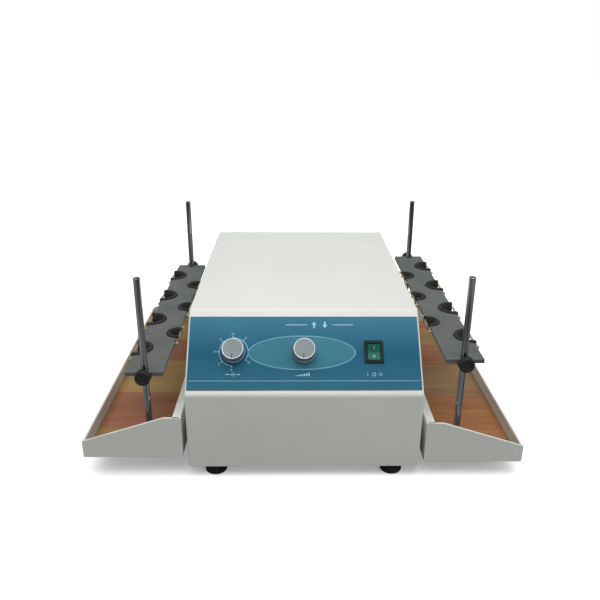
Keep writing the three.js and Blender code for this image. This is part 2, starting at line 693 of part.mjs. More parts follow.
// A notched bar that slides on the two rods. Its frame is the middle of its top face.
function buildClampBar({ name, sign }) {
  const group = new THREE.Group();
  group.position.set(sign * ROD.x, 0, underside + BAR_TOP[name]);
  shaker.add(group);

  const strip = block(-BAR.halfWidth, BAR.halfWidth, -BAR.halfLength, BAR.halfLength, -BAR.thickness, 0);
  const blocks = ends.map((end) => {
    const from = end.sign * (BAR.halfLength - FIT);
    const to = end.sign * (BAR.halfLength - END_BLOCK.length);
    const low = -BAR.thickness - END_BLOCK.height;
    return block(-END_BLOCK.halfWidth, END_BLOCK.halfWidth, from, to, low, 1 - BAR.thickness);
  });
  const notchesAlong = (edge, { radius, inset, steps }) =>
    steps.map((step) => {
      const x = edge * (BAR.halfWidth - inset);
      const y = step * NOTCHES.pitch + NOTCHES.setback;
      return roundAlongZ(radius, -BAR.thickness - 1, 1, x, y, SMOOTH);
    });
  const notches = [...notchesAlong(sign, OUTER_NOTCH), ...notchesAlong(-sign, INNER_NOTCH)];
  const holes = ends.flatMap((end) => {
    const rodY = end.sign * ROD.y;
    const edgeY = end.sign * (BAR.halfLength + 1);
    return [
      roundAlongZ(BAR.holeRadius, -40, 1, 0, rodY),
      roundAlongY(CLAMP_STUD.hole, rodY, edgeY, 0, -CLAMP_KNOB.drop, 12),
    ];
  });
  piece(`clamp_bar_${name}`, cut(join(strip, ...blocks), ...notches, ...holes), GREY_PVC, group);

  for (const end of ends) {
    const { radius, length, chamfer, gap } = CLAMP_KNOB;
    const studLength = BAR.halfLength - ROD.y - ROD.radius + gap - 2 * FIT;
    const knob = join(
      turned([
        [0, 0],
        [radius - chamfer, 0],
        [radius, chamfer],
        [radius, length - chamfer],
        [radius - chamfer, length],
        [0, length],
      ]),
      roundAlongZ(CLAMP_STUD.radius, -studLength, 1, 0, 0, 12),
    );
    knob.rotateX((-end.sign * Math.PI) / 2);
    const mesh = piece(`clamp_knob_${end.name}_${name}`, knob, BLACK_PLASTIC, group);
    mesh.position.set(0, end.sign * (BAR.halfLength + gap), -CLAMP_KNOB.drop);
  }
}

buildCabinet();
buildPanel();
buildElectrics();
buildDrive();
for (const side of sides) {
  const tray = new THREE.Group();
  tray.position.z = side.phase;
  shaker.add(tray);
  buildLink(side);
  buildGuides(side);
  buildCarriage(side, tray);
  buildTray(side, tray);
  buildClampBar(side);
}

export default shaker;
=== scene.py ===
"""Looks of a bench-top vertical flask shaker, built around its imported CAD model.

Metres, +Z up, front at -Y. Every piece is made in the row frame, so its object sits at the origin.
"""
import json
import math
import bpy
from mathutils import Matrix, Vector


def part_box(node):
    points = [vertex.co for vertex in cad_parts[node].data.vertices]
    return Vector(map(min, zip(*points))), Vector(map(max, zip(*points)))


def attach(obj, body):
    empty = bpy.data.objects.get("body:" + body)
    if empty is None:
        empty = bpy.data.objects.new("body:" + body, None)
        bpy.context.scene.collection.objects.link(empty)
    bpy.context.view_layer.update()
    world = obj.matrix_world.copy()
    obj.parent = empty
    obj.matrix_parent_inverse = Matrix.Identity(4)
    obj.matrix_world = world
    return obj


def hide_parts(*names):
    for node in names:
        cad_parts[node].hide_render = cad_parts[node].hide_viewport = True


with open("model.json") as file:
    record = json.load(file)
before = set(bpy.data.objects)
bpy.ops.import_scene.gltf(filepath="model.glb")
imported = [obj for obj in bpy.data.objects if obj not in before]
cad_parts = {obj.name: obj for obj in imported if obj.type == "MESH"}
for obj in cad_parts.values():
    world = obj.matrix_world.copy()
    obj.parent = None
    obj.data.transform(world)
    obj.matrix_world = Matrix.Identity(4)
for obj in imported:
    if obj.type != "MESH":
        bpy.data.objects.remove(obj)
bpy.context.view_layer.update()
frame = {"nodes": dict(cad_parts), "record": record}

from types import SimpleNamespace

import bmesh
import bpy
from mathutils import Matrix, Vector
from mathutils.geometry import tessellate_polygon

MM = 0.001
JOINTS = {joint["name"]: joint for joint in frame["record"]["behaviour"]["joints"]}
OPENINGS = {opening["name"]: opening for opening in frame["record"]["physics"]["openings"]}
SIDES = {"left": -1, "right": 1}
ENDS = {"front": -1, "rear": 1}

SHEET = 1.5 * MM
BEND = 3 * MM           # outside radius of the cabinet's bends
TRAY_BEND = 2.2 * MM    # outside radius of the trays' bends
SLOPE_ANGLE = math.atan2(JOINTS["speed_turn"]["axis"][1], -JOINTS["speed_turn"]["axis"][2])


def mm(**sizes):
    """Named sizes given in millimetres."""
    return SimpleNamespace(**{name: size * MM for name, size in sizes.items()})


# ---- Outlines ----

def curve(half_x, half_y, centre, angles):
    """Points on an ellipse about a centre, at angles in radians."""
    return [Vector((centre[0] + half_x * math.cos(a), centre[1] + half_y * math.sin(a))) for a in angles]


def ellipse(half_x, half_y, centre=(0, 0), sides=96):
    return curve(half_x, half_y, centre, [2 * math.pi * i / sides for i in range(sides)])


def circle(radius, centre=(0, 0), sides=32):
    return ellipse(radius, radius, centre, sides)


def arc(radius, first, last, centre=(0, 0), chords=16):
    """Points on an arc between two angles in degrees."""
    angles = [math.radians(first + (last - first) * i / chords) for i in range(chords + 1)]
    return curve(radius, radius, centre, angles)


def rounded(corners, chords=5):
    """An outline with each (a, b, radius) corner drawn as an arc of short chords."""
    points = []
    for i, (a, b, radius) in enumerate(corners):
        here = Vector((a, b))
        if radius == 0:
            points.append(here)
            continue
        back = (Vector(corners[i - 1][:2]) - here).normalized()
        on = (Vector(corners[(i + 1) % len(corners)][:2]) - here).normalized()
        half = back.angle(on) / 2
        centre = here + (back + on).normalized() * radius / math.sin(half)
        spoke = here + back * radius / math.tan(half) - centre
        turn = math.copysign(math.pi - 2 * half, spoke.cross(here - centre))
        points += [centre + Matrix.Rotation(turn * k / chords, 2) @ spoke for k in range(chords + 1)]
    return points


def rectangle(x0, x1, y0, y1, radius=0.0, chords=5):
    return rounded([(x0, y0, radius), (x1, y0, radius), (x1, y1, radius), (x0, y1, radius)], chords)


def block(centre, half_x, half_y, radius=0.0, chords=5):
    """A rectangle about its centre."""
    x, y = centre[:2]
    return rectangle(x - half_x, x + half_x, y - half_y, y + half_y, radius, chords)


def area(outline):
    return sum(a.cross(b) for a, b in zip(outline, outline[1:] + outline[:1])) / 2


def shifted(outline, distance):
    """The outline moved towards the side on its left."""
    if distance == 0:
        return outline
    points = []
    for i, here in enumerate(outline):
        before = (here - outline[i - 1]).normalized()
        after = (outline[(i + 1) % len(outline)] - here).normalized()
        left = Vector((-before.y - after.y, before.x + after.x))
        points.append(here + left * distance / max(0.4, 1 + before.dot(after)))
    return points


# ---- Bodies, each returned as a bmesh ----

def plate(rim, low, high, holes=(), bevel=0.3 * MM, place=Matrix()):
    """A flat body between two heights of a local frame, with holes and bevelled edges."""
    shape = bmesh.new()
    loops = [rim if area(rim) > 0 else rim[::-1]]
    loops += [hole if area(hole) < 0 else hole[::-1] for hole in holes]
    levels = [(low, bevel), (low + bevel, 0), (high - bevel, 0), (high, bevel)]
    if bevel == 0:
        levels = [(low, 0), (high, 0)]
    bottom, top = [], []
    for loop in loops:
        rings = []
        for height, inset in levels:
            rings.append([shape.verts.new(place @ Vector((*p, height))) for p in shifted(loop, inset)])
        for lower, upper in zip(rings, rings[1:]):
            for i in range(len(loop)):
                j = (i + 1) % len(loop)
                shape.faces.new((lower[i], lower[j], upper[j], upper[i]))
        bottom += rings[0]
        top += rings[-1]
    flat = [[Vector((*p, 0)) for p in shifted(loop, bevel)] for loop in loops]
    points = [p for loop in flat for p in loop]
    for a, b, c in tessellate_polygon(flat):
        if (points[b] - points[a]).cross(points[c] - points[a]).z < 0:
            b, c = c, b
        shape.faces.new((top[a], top[b], top[c]))
        shape.faces.new((bottom[a], bottom[c], bottom[b]))
    return shape


def lathe(profile, place=Matrix(), sides=40, ripple=None):
    """A body turned about local Z from its (radius, height) profile; ripple adds to a point's radius."""
    shape = bmesh.new()
    rings = []
    for radius, height in profile:
        if radius == 0:
            rings.append([shape.verts.new(place @ Vector((0, 0, height)))])
            continue
        ring = []
        for i in range(sides):
            angle = 2 * math.pi * i / sides
            reach = radius + (ripple(angle, radius, height) if ripple else 0)
            spot = Vector((reach * math.cos(angle), reach * math.sin(angle), height))
            ring.append(shape.verts.new(place @ spot))
        rings.append(ring)
    for lower, upper in zip(rings, rings[1:]):
        below, above = len(lower), len(upper)
        for i in range(sides):
            j = (i + 1) % sides
            quad = (lower[i % below], lower[j % below], upper[j % above], upper[i % above])
            corners = list(dict.fromkeys(quad))
            if len(corners) > 2:
                shape.faces.new(corners)
    return shape


def flutes(count, depth, least_radius=0.0, low=-1.0, high=1.0):
    """A lathe ripple of grooves, cut only past a radius and between two heights."""
    def ripple(angle, radius, height):
        if radius > least_radius and low < height < high:
            return -depth * (0.5 + 0.5 * math.cos(count * angle))
        return 0
    return ripple


def basis(origin, x, y, z):
    """The matrix of a frame with that origin and those axes."""
    return Matrix.Translation(origin) @ Matrix((x, y, z)).transposed().to_4x4()


def across(origin=(0, 0, 0), sign=1):
    """A frame that looks along X: its axes are Y, Z and X, with Y and X turned round by the sign."""
    return basis(origin, (0, sign, 0), (0, 0, 1), (sign, 0, 0))


def moved(*offset):
    return Matrix.Translation(offset)


class Box:
    """Corners, middle and half size of a CAD node in a local frame."""

    def __init__(self, node, place=Matrix()):
        back = place.inverted()
        points = [back @ v.co for v in frame["nodes"][node].data.vertices]
        self.low, self.high = (Vector([pick(p[i] for p in points) for i in range(3)]) for pick in (min, max))
        self.middle, self.half = (self.low + self.high) / 2, (self.high - self.low) / 2

    def upright(self):
        """A frame whose +Z runs up through the box's middle from the ground."""
        return moved(self.middle.x, self.middle.y, 0)


def linked(name, data):
    """A new object in the scene that holds the data."""
    made = bpy.data.objects.new(name, data)
    bpy.context.scene.collection.objects.link(made)
    return made


def held(name, shape):
    """A new object in the scene that holds a bmesh, which is freed."""
    mesh = bpy.data.meshes.new(name)
    shape.to_mesh(mesh)
    shape.free()
    return linked(name, mesh)


def piece(name, shapes, finish, body, stands_for=(), crease=32):
    """Joins bmesh shapes into one smooth-shaded object that rides on a body."""
    whole = bmesh.new()
    for shape in shapes:
        part = bpy.data.meshes.new("part")
        shape.to_mesh(part)
        shape.free()
        whole.from_mesh(part)
        bpy.data.meshes.remove(part)
    bmesh.ops.recalc_face_normals(whole, faces=whole.faces)
    made = held(name, whole)
    made.data.shade_smooth()
    made.data.set_sharp_from_angle(angle=math.radians(crease))
    made.data.materials.append(finish)
    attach(made, body)
    if stands_for:
        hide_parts(*stands_for)


# ---- Finishes ----

def paint(red, green, blue):
    """A linear colour from the 0 to 255 values of a paint chart."""
    def linear(value):
        value /= 255
        return value / 12.92 if value <= 0.04045 else ((value + 0.055) / 1.055) ** 2.4
    return (linear(red), linear(green), linear(blue), 1)


def grey(level):
    return (level, level, level, 1)


class Graph:
    """Helpers that add shader nodes to a tree."""

    def __init__(self, owner):
        owner.use_nodes = True
        self.nodes, self.links = owner.node_tree.nodes, owner.node_tree.links

    def feed(self, socket, value):
        """Links an output to a socket, or sets the socket to a plain value."""
        if isinstance(value, bpy.types.NodeSocket):
            self.links.new(value, socket)
        else:
            socket.default_value = value

    def node(self, kind, output, inputs, **settings):
        """Adds a node with its settings and inputs, and gives one of its outputs."""
        made = self.nodes.new(kind)
        for name, value in settings.items():
            setattr(made, name, value)
        for socket, value in inputs.items():
            self.feed(made.inputs[socket], value)
        return made.outputs[output]

    def ramp(self, factor, stops, interpolation="LINEAR"):
        """Colours by position; a stop is (position, colour)."""
        colour = self.node("ShaderNodeValToRGB", "Color", {"Fac": factor})
        ramp = colour.node.color_ramp
        ramp.interpolation = interpolation
        while len(ramp.elements) < len(stops):
            ramp.elements.new(0.5)
        for element, (position, shade) in zip(ramp.elements, stops):
            element.position = position
            element.color = shade
        return colour

    def scaled(self, value, from_low, from_high, to_low=0.0, to_high=1.0):
        limits = {"From Min": from_low, "From Max": from_high, "To Min": to_low, "To Max": to_high}
        return self.node("ShaderNodeMapRange", "Result", {"Value": value, **limits})

    def mixed(self, factor, first, second, blend="MIX"):
        """Two colours mixed; a Mix node's colour sockets are its inputs 6 and 7 and its output 2."""
        return self.node("ShaderNodeMix", 2, {0: factor, 6: first, 7: second}, data_type="RGBA",
                         blend_type=blend)


class Finish(Graph):
    """A material whose colour, roughness and bump come from noise in the row frame."""

    def __init__(self, name, roughness, metallic=0.0, **sockets):
        self.material = bpy.data.materials.new(name)
        super().__init__(self.material)
        self.shader = self.nodes["Principled BSDF"]
        self.coordinates = self.node("ShaderNodeTexCoord", "Object", {})
        self.put("Roughness", roughness)
        self.put("Metallic", metallic)
        for socket, value in sockets.items():
            self.put(socket.replace("_", " ").title().replace("Ior", "IOR"), value)

    def put(self, socket, value):
        self.feed(self.shader.inputs[socket], value)

    def noise(self, scale, detail=3.0, stretch=(1, 1, 1), distortion=0.0):
        mapped = self.node("ShaderNodeMapping", "Vector", {"Vector": self.coordinates, "Scale": stretch})
        return self.node("ShaderNodeTexNoise", "Fac", {
            "Vector": mapped, "Scale": scale, "Detail": detail, "Distortion": distortion})

    def along(self, letter, low, high):
        """How far a point lies from low to high along an axis, from 0 to 1."""
        split = self.node("ShaderNodeSeparateXYZ", letter, {"Vector": self.coordinates})
        return self.scaled(split, low, high)

    def mottle(self, dark, light, scale, detail=3.0, stretch=(1, 1, 1)):
        """Colour that wanders between two paints."""
        wander = self.noise(scale, detail, stretch)
        self.put("Base Color", self.ramp(wander, [(0.3, paint(*dark)), (0.7, paint(*light))]))

    def uneven(self, low, high, scale, stretch=(1, 1, 1)):
        """Roughness that wanders between two values."""
        self.put("Roughness", self.scaled(self.noise(scale, 4.0, stretch), 0.3, 0.7, low, high))

    def bump(self, height, strength, depth):
        """Relief from a height texture, with its depth in millimetres."""
        self.put("Normal", self.node("ShaderNodeBump", "Normal", {
            "Height": height, "Strength": strength, "Distance": depth * MM}))


def surface(name, roughness, mottle, uneven=None, grain=None, **sockets):
    """A finish from its mottle and uneven arguments and its grain: noise arguments, strength and depth."""
    finish = Finish(name, roughness, **sockets)
    finish.mottle(*mottle)
    if uneven:
        finish.uneven(*uneven)
    if grain:
        *texture, strength, depth = grain
        finish.bump(finish.noise(*texture), strength, depth)
    return finish.material


def plastic(name, dark, light, roughness, gloss):
    return surface(name, roughness, (dark, light, 80), (roughness - 0.08, roughness + 0.1, 200),
                   (2400, 2.0, 0.18, 0.06), specular_ior_level=gloss)


def cast_metal(name, dark, light, roughness):
    return surface(name, roughness, (dark, light, 90, 5.0), (roughness - 0.08, roughness + 0.14, 240),
                   (1200, 4.0, 0.2, 0.1), metallic=1.0)


def label_print():
    """Blue polyester overlay, a little lighter towards its top and bottom edges."""
    overlay = Finish("label_blue", 0.5, specular_ior_level=0.16)
    low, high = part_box("panel_label")
    shades = [(0.0, paint(42, 108, 133)), (0.5, paint(14, 95, 124)), (1.0, paint(62, 128, 156))]
    base = overlay.ramp(overlay.along("Z", low.z, high.z), shades)
    cloud = overlay.ramp(overlay.noise(14, 4.0), [(0.3, grey(0.9)), (0.7, grey(1))])
    overlay.put("Base Color", overlay.mixed(1.0, base, cloud, "MULTIPLY"))
    overlay.bump(overlay.noise(2600, 1.0), 0.12, 0.05)
    return overlay.material


def turned_metal(name, centre):
    """Silver lacquer over fine turned rings about a centre on the sloped panel."""
    metal = Finish(name, 0.42, 0.45)
    metal.mottle((112, 120, 122), (121, 129, 131), 60)
    away = metal.node("ShaderNodeVectorMath", "Vector", {0: metal.coordinates, 1: centre},
                      operation="SUBTRACT")
    rings = metal.node("ShaderNodeTexWave", "Fac", {"Vector": away, "Scale": 2600, "Distortion": 0.6},
                       wave_type="RINGS", rings_direction="SPHERICAL")
    metal.bump(rings, 0.12, 0.04)
    metal.uneven(0.4, 0.46, 120)
    return metal.material


def pvc():
    """Grey sheet PVC with faint scuffs."""
    sheet = Finish("grey_pvc", 0.42, specular_ior_level=0.35)
    base = sheet.ramp(sheet.noise(22, 4.0), [(0.3, paint(92, 96, 93)), (0.7, paint(104, 107, 103))])
    scuffs = sheet.ramp(sheet.noise(60, 6.0, (6, 1, 1)), [(0.62, grey(1)), (0.72, grey(1.25))])
    sheet.put("Base Color", sheet.mixed(1.0, base, scuffs, "MULTIPLY"))
    sheet.uneven(0.34, 0.52, 90, (4, 1, 1))
    sheet.bump(sheet.noise(1500, 3.0), 0.15, 0.08)
    return sheet.material


def board():
    """Green circuit board laminate with a pattern of tracks."""
    laminate = Finish("circuit_board", 0.4)
    laminate.put("Base Color", laminate.node("ShaderNodeTexBrick", "Color", {
        "Vector": laminate.coordinates, "Scale": 90, "Color1": paint(24, 92, 56),
        "Color2": paint(30, 104, 62), "Mortar": paint(60, 140, 84)}))
    laminate.bump(laminate.noise(700, 2.0), 0.15, 0.08)
    return laminate.material


RED_BROWN = (150, 98, 70)
YELLOW_BROWN = (154, 125, 74)
MID_BROWN = (146, 114, 78)
ORANGE_BROWN = (164, 110, 66)
PLANKS = {  # where each plank starts along its mat, and its tone
    "left": [(0.0, YELLOW_BROWN), (0.135, RED_BROWN), (0.35, YELLOW_BROWN), (0.587, RED_BROWN),
             (0.76, YELLOW_BROWN), (0.92, MID_BROWN)],
    "right": [(0.0, YELLOW_BROWN), (0.09, ORANGE_BROWN), (0.35, MID_BROWN), (0.587, RED_BROWN),
              (0.76, YELLOW_BROWN), (0.92, RED_BROWN)],
}


def wood_print(side):
    """Wood-grain vinyl: planks across the tray with dark grain lines, under a satin film."""
    film = Finish(f"wood_mat_{side}", 0.4, coat_weight=0.2, coat_roughness=0.25)
    low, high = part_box(f"tray_mat_{side}")
    run = film.along("Y", low.y, high.y)
    planks = film.ramp(run, [(at, paint(*tone)) for at, tone in PLANKS[side]], "CONSTANT")
    half_joint = 0.0025
    joints = []
    for at, _ in PLANKS[side][1:]:
        joints += [(at - half_joint, grey(1)), (at, (0.62, 0.55, 0.5, 1)), (at + half_joint, grey(1))]
    seams = film.ramp(run, joints)
    wide = film.ramp(film.noise(34, 5.0, (0.18, 1, 1), 0.6),
                     [(0.32, (0.82, 0.77, 0.72, 1)), (0.62, (1.08, 1.07, 1.06, 1))])
    fine = film.ramp(film.noise(260, 6.0, (0.05, 1, 1), 0.3),
                     [(0.36, (0.8, 0.76, 0.72, 1)), (0.56, grey(1))])
    shade = film.mixed(1.0, film.mixed(1.0, planks, seams, "MULTIPLY"), wide, "MULTIPLY")
    film.put("Base Color", film.mixed(0.75, shade, fine, "MULTIPLY"))
    film.uneven(0.34, 0.5, 120)
    film.bump(film.noise(420, 4.0, (0.08, 1, 1)), 0.2, 0.08)
    return film.material


def floor_finish():
    """Plain white sweep that sends only part of its light back onto the cabinet."""
    sweep = Finish("floor_white", 0.9, specular_ior_level=0.0, emission_color=grey(1))
    seen = sweep.ramp(sweep.noise(2), [(0.3, grey(0.95)), (0.7, grey(0.97))])
    ray = sweep.node("ShaderNodeLightPath", "Is Camera Ray", {})
    sweep.put("Base Color", sweep.mixed(ray, grey(0.26), seen))
    sweep.put("Emission Strength", sweep.scaled(ray, 0, 1, 0, 0.3))
    return sweep.material


COAT = surface("powder_coat", 0.42, ((222, 224, 218), (227, 229, 223), 9), (0.36, 0.5, 60),
               (1400, 2.0, 0.22, 0.12), coat_weight=0.15, coat_roughness=0.25)
LABEL_BLUE = label_print()
OVAL_TEAL = surface("oval_teal", 0.5, ((46, 116, 136), (54, 124, 142), 18), grain=(2600, 1.0, 0.12, 0.05),
                    specular_ior_level=0.22)
LIGHT_INK = surface("light_ink", 0.45, ((142, 188, 206), (166, 206, 220), 120))
LINE_INK = surface("cyan_line_ink", 0.45, ((84, 144, 174), (100, 160, 186), 90))
RUBBER = surface("black_rubber", 0.75, ((26, 26, 27), (36, 36, 37), 70), (0.62, 0.85, 150),
                 (1800, 3.0, 0.3, 0.15), specular_ior_level=0.3)
LINER = surface("liner_rubber", 0.85, ((30, 30, 31), (48, 47, 46), 240, 5.0), grain=(900, 5.0, 0.5, 0.3))
BLACK_PLASTIC = plastic("black_plastic", (20, 20, 21), (30, 30, 31), 0.45, 0.5)
BEZEL_PLASTIC = plastic("bezel_plastic", (12, 24, 30), (18, 32, 38), 0.5, 0.25)
# Bright rods with light and dark streaks painted along them in the base colour: painted reflections and
# painted shade of the polished steel.
ROD_STEEL_PAINTED_REFLECTIONS = surface("rod_steel", 0.14, ((84, 84, 87), (200, 200, 203), 240, 2.0, (1, 1, 0.03)),
                    (0.09, 0.17, 200, (1, 1, 0.2)), (1500, 2.0, (0.1, 0.1, 1), 0.06, 0.03), metallic=1.0)
DRAWN = (0.03, 1, 1)    # streaks along X
SHAFT_STEEL = surface("shaft_steel", 0.3, ((150, 151, 153), (180, 181, 183), 160, 4.0, DRAWN),
                      (0.22, 0.42, 400, DRAWN), (1600, 3.0, DRAWN, 0.12, 0.05), metallic=1.0)
PLATE_STEEL = cast_metal("plate_steel", (140, 142, 145), (172, 173, 176), 0.36)
ALUMINIUM = cast_metal("cast_aluminium", (170, 172, 174), (198, 199, 201), 0.4)
SCREW_STEEL = cast_metal("screw_steel", (166, 166, 168), (196, 196, 198), 0.3)
BRASS = cast_metal("pin_brass", (196, 172, 150), (222, 204, 186), 0.34)
GRIP_METAL = cast_metal("knob_grip_metal", (178, 181, 184), (204, 207, 210), 0.36)
PVC = pvc()
GREEN = surface("switch_green", 0.5, ((18, 98, 76), (30, 118, 90), 130), grain=(900, 1.0, 0.06, 0.04),
                specular_ior_level=0.25, subsurface_weight=0.15, subsurface_radius=(0.001, 0.003, 0.002))
LATEX = surface("latex_band", 0.5, ((150, 128, 96), (172, 152, 118), 200, 4.0), grain=(1400, 3.0, 0.2, 0.08),
                subsurface_weight=0.2, subsurface_radius=(0.003, 0.002, 0.001))
BOARD = board()
MATS = {side: wood_print(side) for side in SIDES}


# ---- Cabinet ----

def panel_frame():
    """The sloped panel's frame: origin on the sheet at the speed knob, +Y up the slope, +Z out of it."""
    joint = JOINTS["speed_turn"]
    normal = -Vector(joint["axis"])
    right = Vector((1, 0, 0))
    return basis(joint["pos_m"], right, normal.cross(right), normal)


PANEL = panel_frame()
TIMER_X = JOINTS["timer_turn"]["pos_m"][0]
SWITCH_X = JOINTS["switch_tilt"]["pos_m"][0]
SPINDLE = 4.5 * MM      # radius of a knob's hole in the panel


def cabinet_side_outline():
    """The hood seen from its side, as (y, z) points from the front's lower edge round to the back's."""
    low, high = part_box("hood")
    knob_y = JOINTS["speed_turn"]["pos_m"][1]
    bend_z = (PANEL @ Vector((0, (low.y - knob_y) / math.cos(SLOPE_ANGLE), 0))).z
    slope_end = low.y + (high.z - bend_z) / math.tan(SLOPE_ANGLE)
    return [(low.y, low.z), (low.y, bend_z), (slope_end, high.z), (high.y, high.z), (high.y, low.z)]


def hood_shell():
    """The hood's outside as an open sheet with its bends rounded."""
    low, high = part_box("hood")
    outline = cabinet_side_outline()
    shell = bmesh.new()
    left = [shell.verts.new((low.x, y, z)) for y, z in outline]
    right = [shell.verts.new((high.x, y, z)) for y, z in outline]
    for i in range(3):      # front, slope and top
        shell.faces.new((left[i], left[i + 1], right[i + 1], right[i]))
    shell.faces.new(left[::-1])
    shell.faces.new(right)
    bends = [edge for edge in shell.edges if len(edge.link_faces) == 2]
    bmesh.ops.bevel(shell, geom=bends, offset=BEND, segments=6, profile=0.5, affect="EDGES")
    bmesh.ops.recalc_face_normals(shell, faces=shell.faces)
    if max(shell.faces, key=lambda f: f.calc_center_median().z).normal.z < 0:
        bmesh.ops.reverse_faces(shell, faces=shell.faces)
    return shell


def arm_slot_cutters():
    """Upright slots in the side walls for the tray arms, as long as the trays' travel."""
    spare_y, spare_z, reach = 2.5 * MM, 3 * MM, 8 * MM
    cutters = []
    for side, sign in SIDES.items():
        travel = JOINTS[f"{side}_tray_slide"]["range_m"]
        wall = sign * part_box("hood")[1].x
        for end in ENDS:
            low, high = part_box(f"tray_arm_{end}_{side}")
            slot = rectangle(low.y - spare_y, high.y + spare_y, low.z + travel[0] - spare_z,
                             high.z + travel[1] + spare_z, 3 * MM)
            cutters.append(plate(slot, -reach, reach, bevel=0, place=across((wall, 0, 0))))
    return cutters


def corner_cutters():
    """What rounds the two lower corners of the front face."""
    low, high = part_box("hood")
    radius, past, depth = 4 * MM, 2 * MM, 7 * MM
    facing = basis((0, 0, 0), (1, 0, 0), (0, 0, 1), (0, -1, 0))
    cutters = []
    for sign in SIDES.values():
        corner = arc(radius, 0, -90, (high.x - radius, low.z + radius), 6)
        outline = [*corner, (high.x - radius, low.z - past), (high.x + past, low.z - past),
                   (high.x + past, low.z + radius)]
        outline = [Vector((sign * x, z)) for x, z in outline]
        cutters.append(plate(outline, -low.y - depth, -low.y + past, (), 0, facing))
    return cutters


def panel_holes(margin):
    """Round holes for the two spindles, and the switch's window with a margin of its bezel over it."""
    bezel = Box("switch_bezel", PANEL)
    window = block(bezel.middle, bezel.half.x - margin, bezel.half.y - margin, 1 * MM)
    return [circle(SPINDLE, (TIMER_X, 0)), circle(SPINDLE), window]


def build_hood():
    hood = held("hood_blank", hood_shell())
    thicken = hood.modifiers.new("thickness", "SOLIDIFY")
    thicken.thickness = SHEET
    thicken.offset = -1
    thicken.use_even_offset = True
    reach = 6 * MM
    panel_cutters = [plate(hole, -reach, reach, bevel=0, place=PANEL) for hole in panel_holes(1.2 * MM)]
    cutters = []
    for i, shape in enumerate(arm_slot_cutters() + corner_cutters() + panel_cutters):
        cutter = held(f"cutter_{i}", shape)
        cutters.append(cutter)
        hole = hood.modifiers.new(f"hole_{i}", "BOOLEAN")
        hole.operation = "DIFFERENCE"
        hole.solver = "EXACT"
        hole.object = cutter
    graph = bpy.context.evaluated_depsgraph_get()
    mesh = bpy.data.meshes.new_from_object(hood.evaluated_get(graph))
    shape = bmesh.new()
    shape.from_mesh(mesh)
    bpy.data.meshes.remove(mesh)
    bmesh.ops.remove_doubles(shape, verts=shape.verts, dist=0.005 * MM)
    for spent in [hood, *cutters]:
        bpy.data.objects.remove(spent)
    piece("cabinet_hood", [shape], COAT, "cabinet", ["hood"])


def back_frame(node):
    """A frame on the outer face of a back part: +X across, +Y up, +Z out of the back."""
    return basis((0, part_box(node)[1].y, 0), (-1, 0, 0), (0, 0, 1), (0, 1, 0))


def screw(x, y, z, place, radius=3.2 * MM):
    """A pan-head screw with a round recess, standing on a local frame's plane."""
    rim, dome, recess = 0.5 * MM, 1.3 * MM, 1.1 * MM
    head = curve(radius, dome, (0, rim), (0.35, 0.7, 1.05))
    return lathe([(0, 0), (radius, 0), (radius, rim), *head, (radius * 0.28, 1.72 * MM),
                  (radius * 0.2, recess), (0, recess)], place @ moved(x, y, z), 24)


VENT_COUNT = 7
VENTS = mm(pitch=9, half_width=1.5, half_height=23, x=62, z=124)


def vent_holes():
    first = -VENTS.x - (VENT_COUNT - 1) / 2 * VENTS.pitch
    half = VENTS.half_width
    return [block((first + i * VENTS.pitch, VENTS.z), half, VENTS.half_height, half * 0.98, 4)
            for i in range(VENT_COUNT)]


def build_back():
    place = back_frame("back_panel")
    sheet = Box("back_panel", place)
    low, high = sheet.low, sheet.high
    rim = rounded([(low.x, low.y, 1 * MM), (high.x, low.y, 1 * MM), (high.x, high.y, BEND),
                   (low.x, high.y, BEND)])
    inlet, fuse = Box("power_inlet", place), Box("fuse_holder", place)
    holes = [*vent_holes(), block(inlet.middle, inlet.half.x - 7 * MM, inlet.half.y - 3 * MM, 1 * MM),
             circle(fuse.half.x - 1.2 * MM, fuse.middle)]
    piece("cabinet_back", [plate(rim, low.z, high.z, holes, 0.25 * MM, place)], COAT, "cabinet",
          ["back_panel"])
    inset = 9 * MM
    spots = [(x, y) for x in (low.x + inset, 0, high.x - inset) for y in (low.y + inset, high.y - inset)]
    screws = [screw(x, y, high.z, place) for x, y in spots]
    piece("back_screws", screws, SCREW_STEEL, "cabinet")


INLET = mm(well_x=12.2, well_y=8.4, wall=2, flange=2.2, overlap=1, floor=3, pin_foot=2.5, pin_top=5)
INLET_PINS = [(-7, -1.6), (0, 2.4), (7, -1.6)]


def mirrored(centre, *corners):
    """Rounded outline from (x, y, radius) corners about a centre, and the same corners turned over X."""
    both = [*corners, *((-x, y, radius) for x, y, radius in reversed(corners))]
    return rounded([(centre.x + x, centre.y + y, radius) for x, y, radius in both])


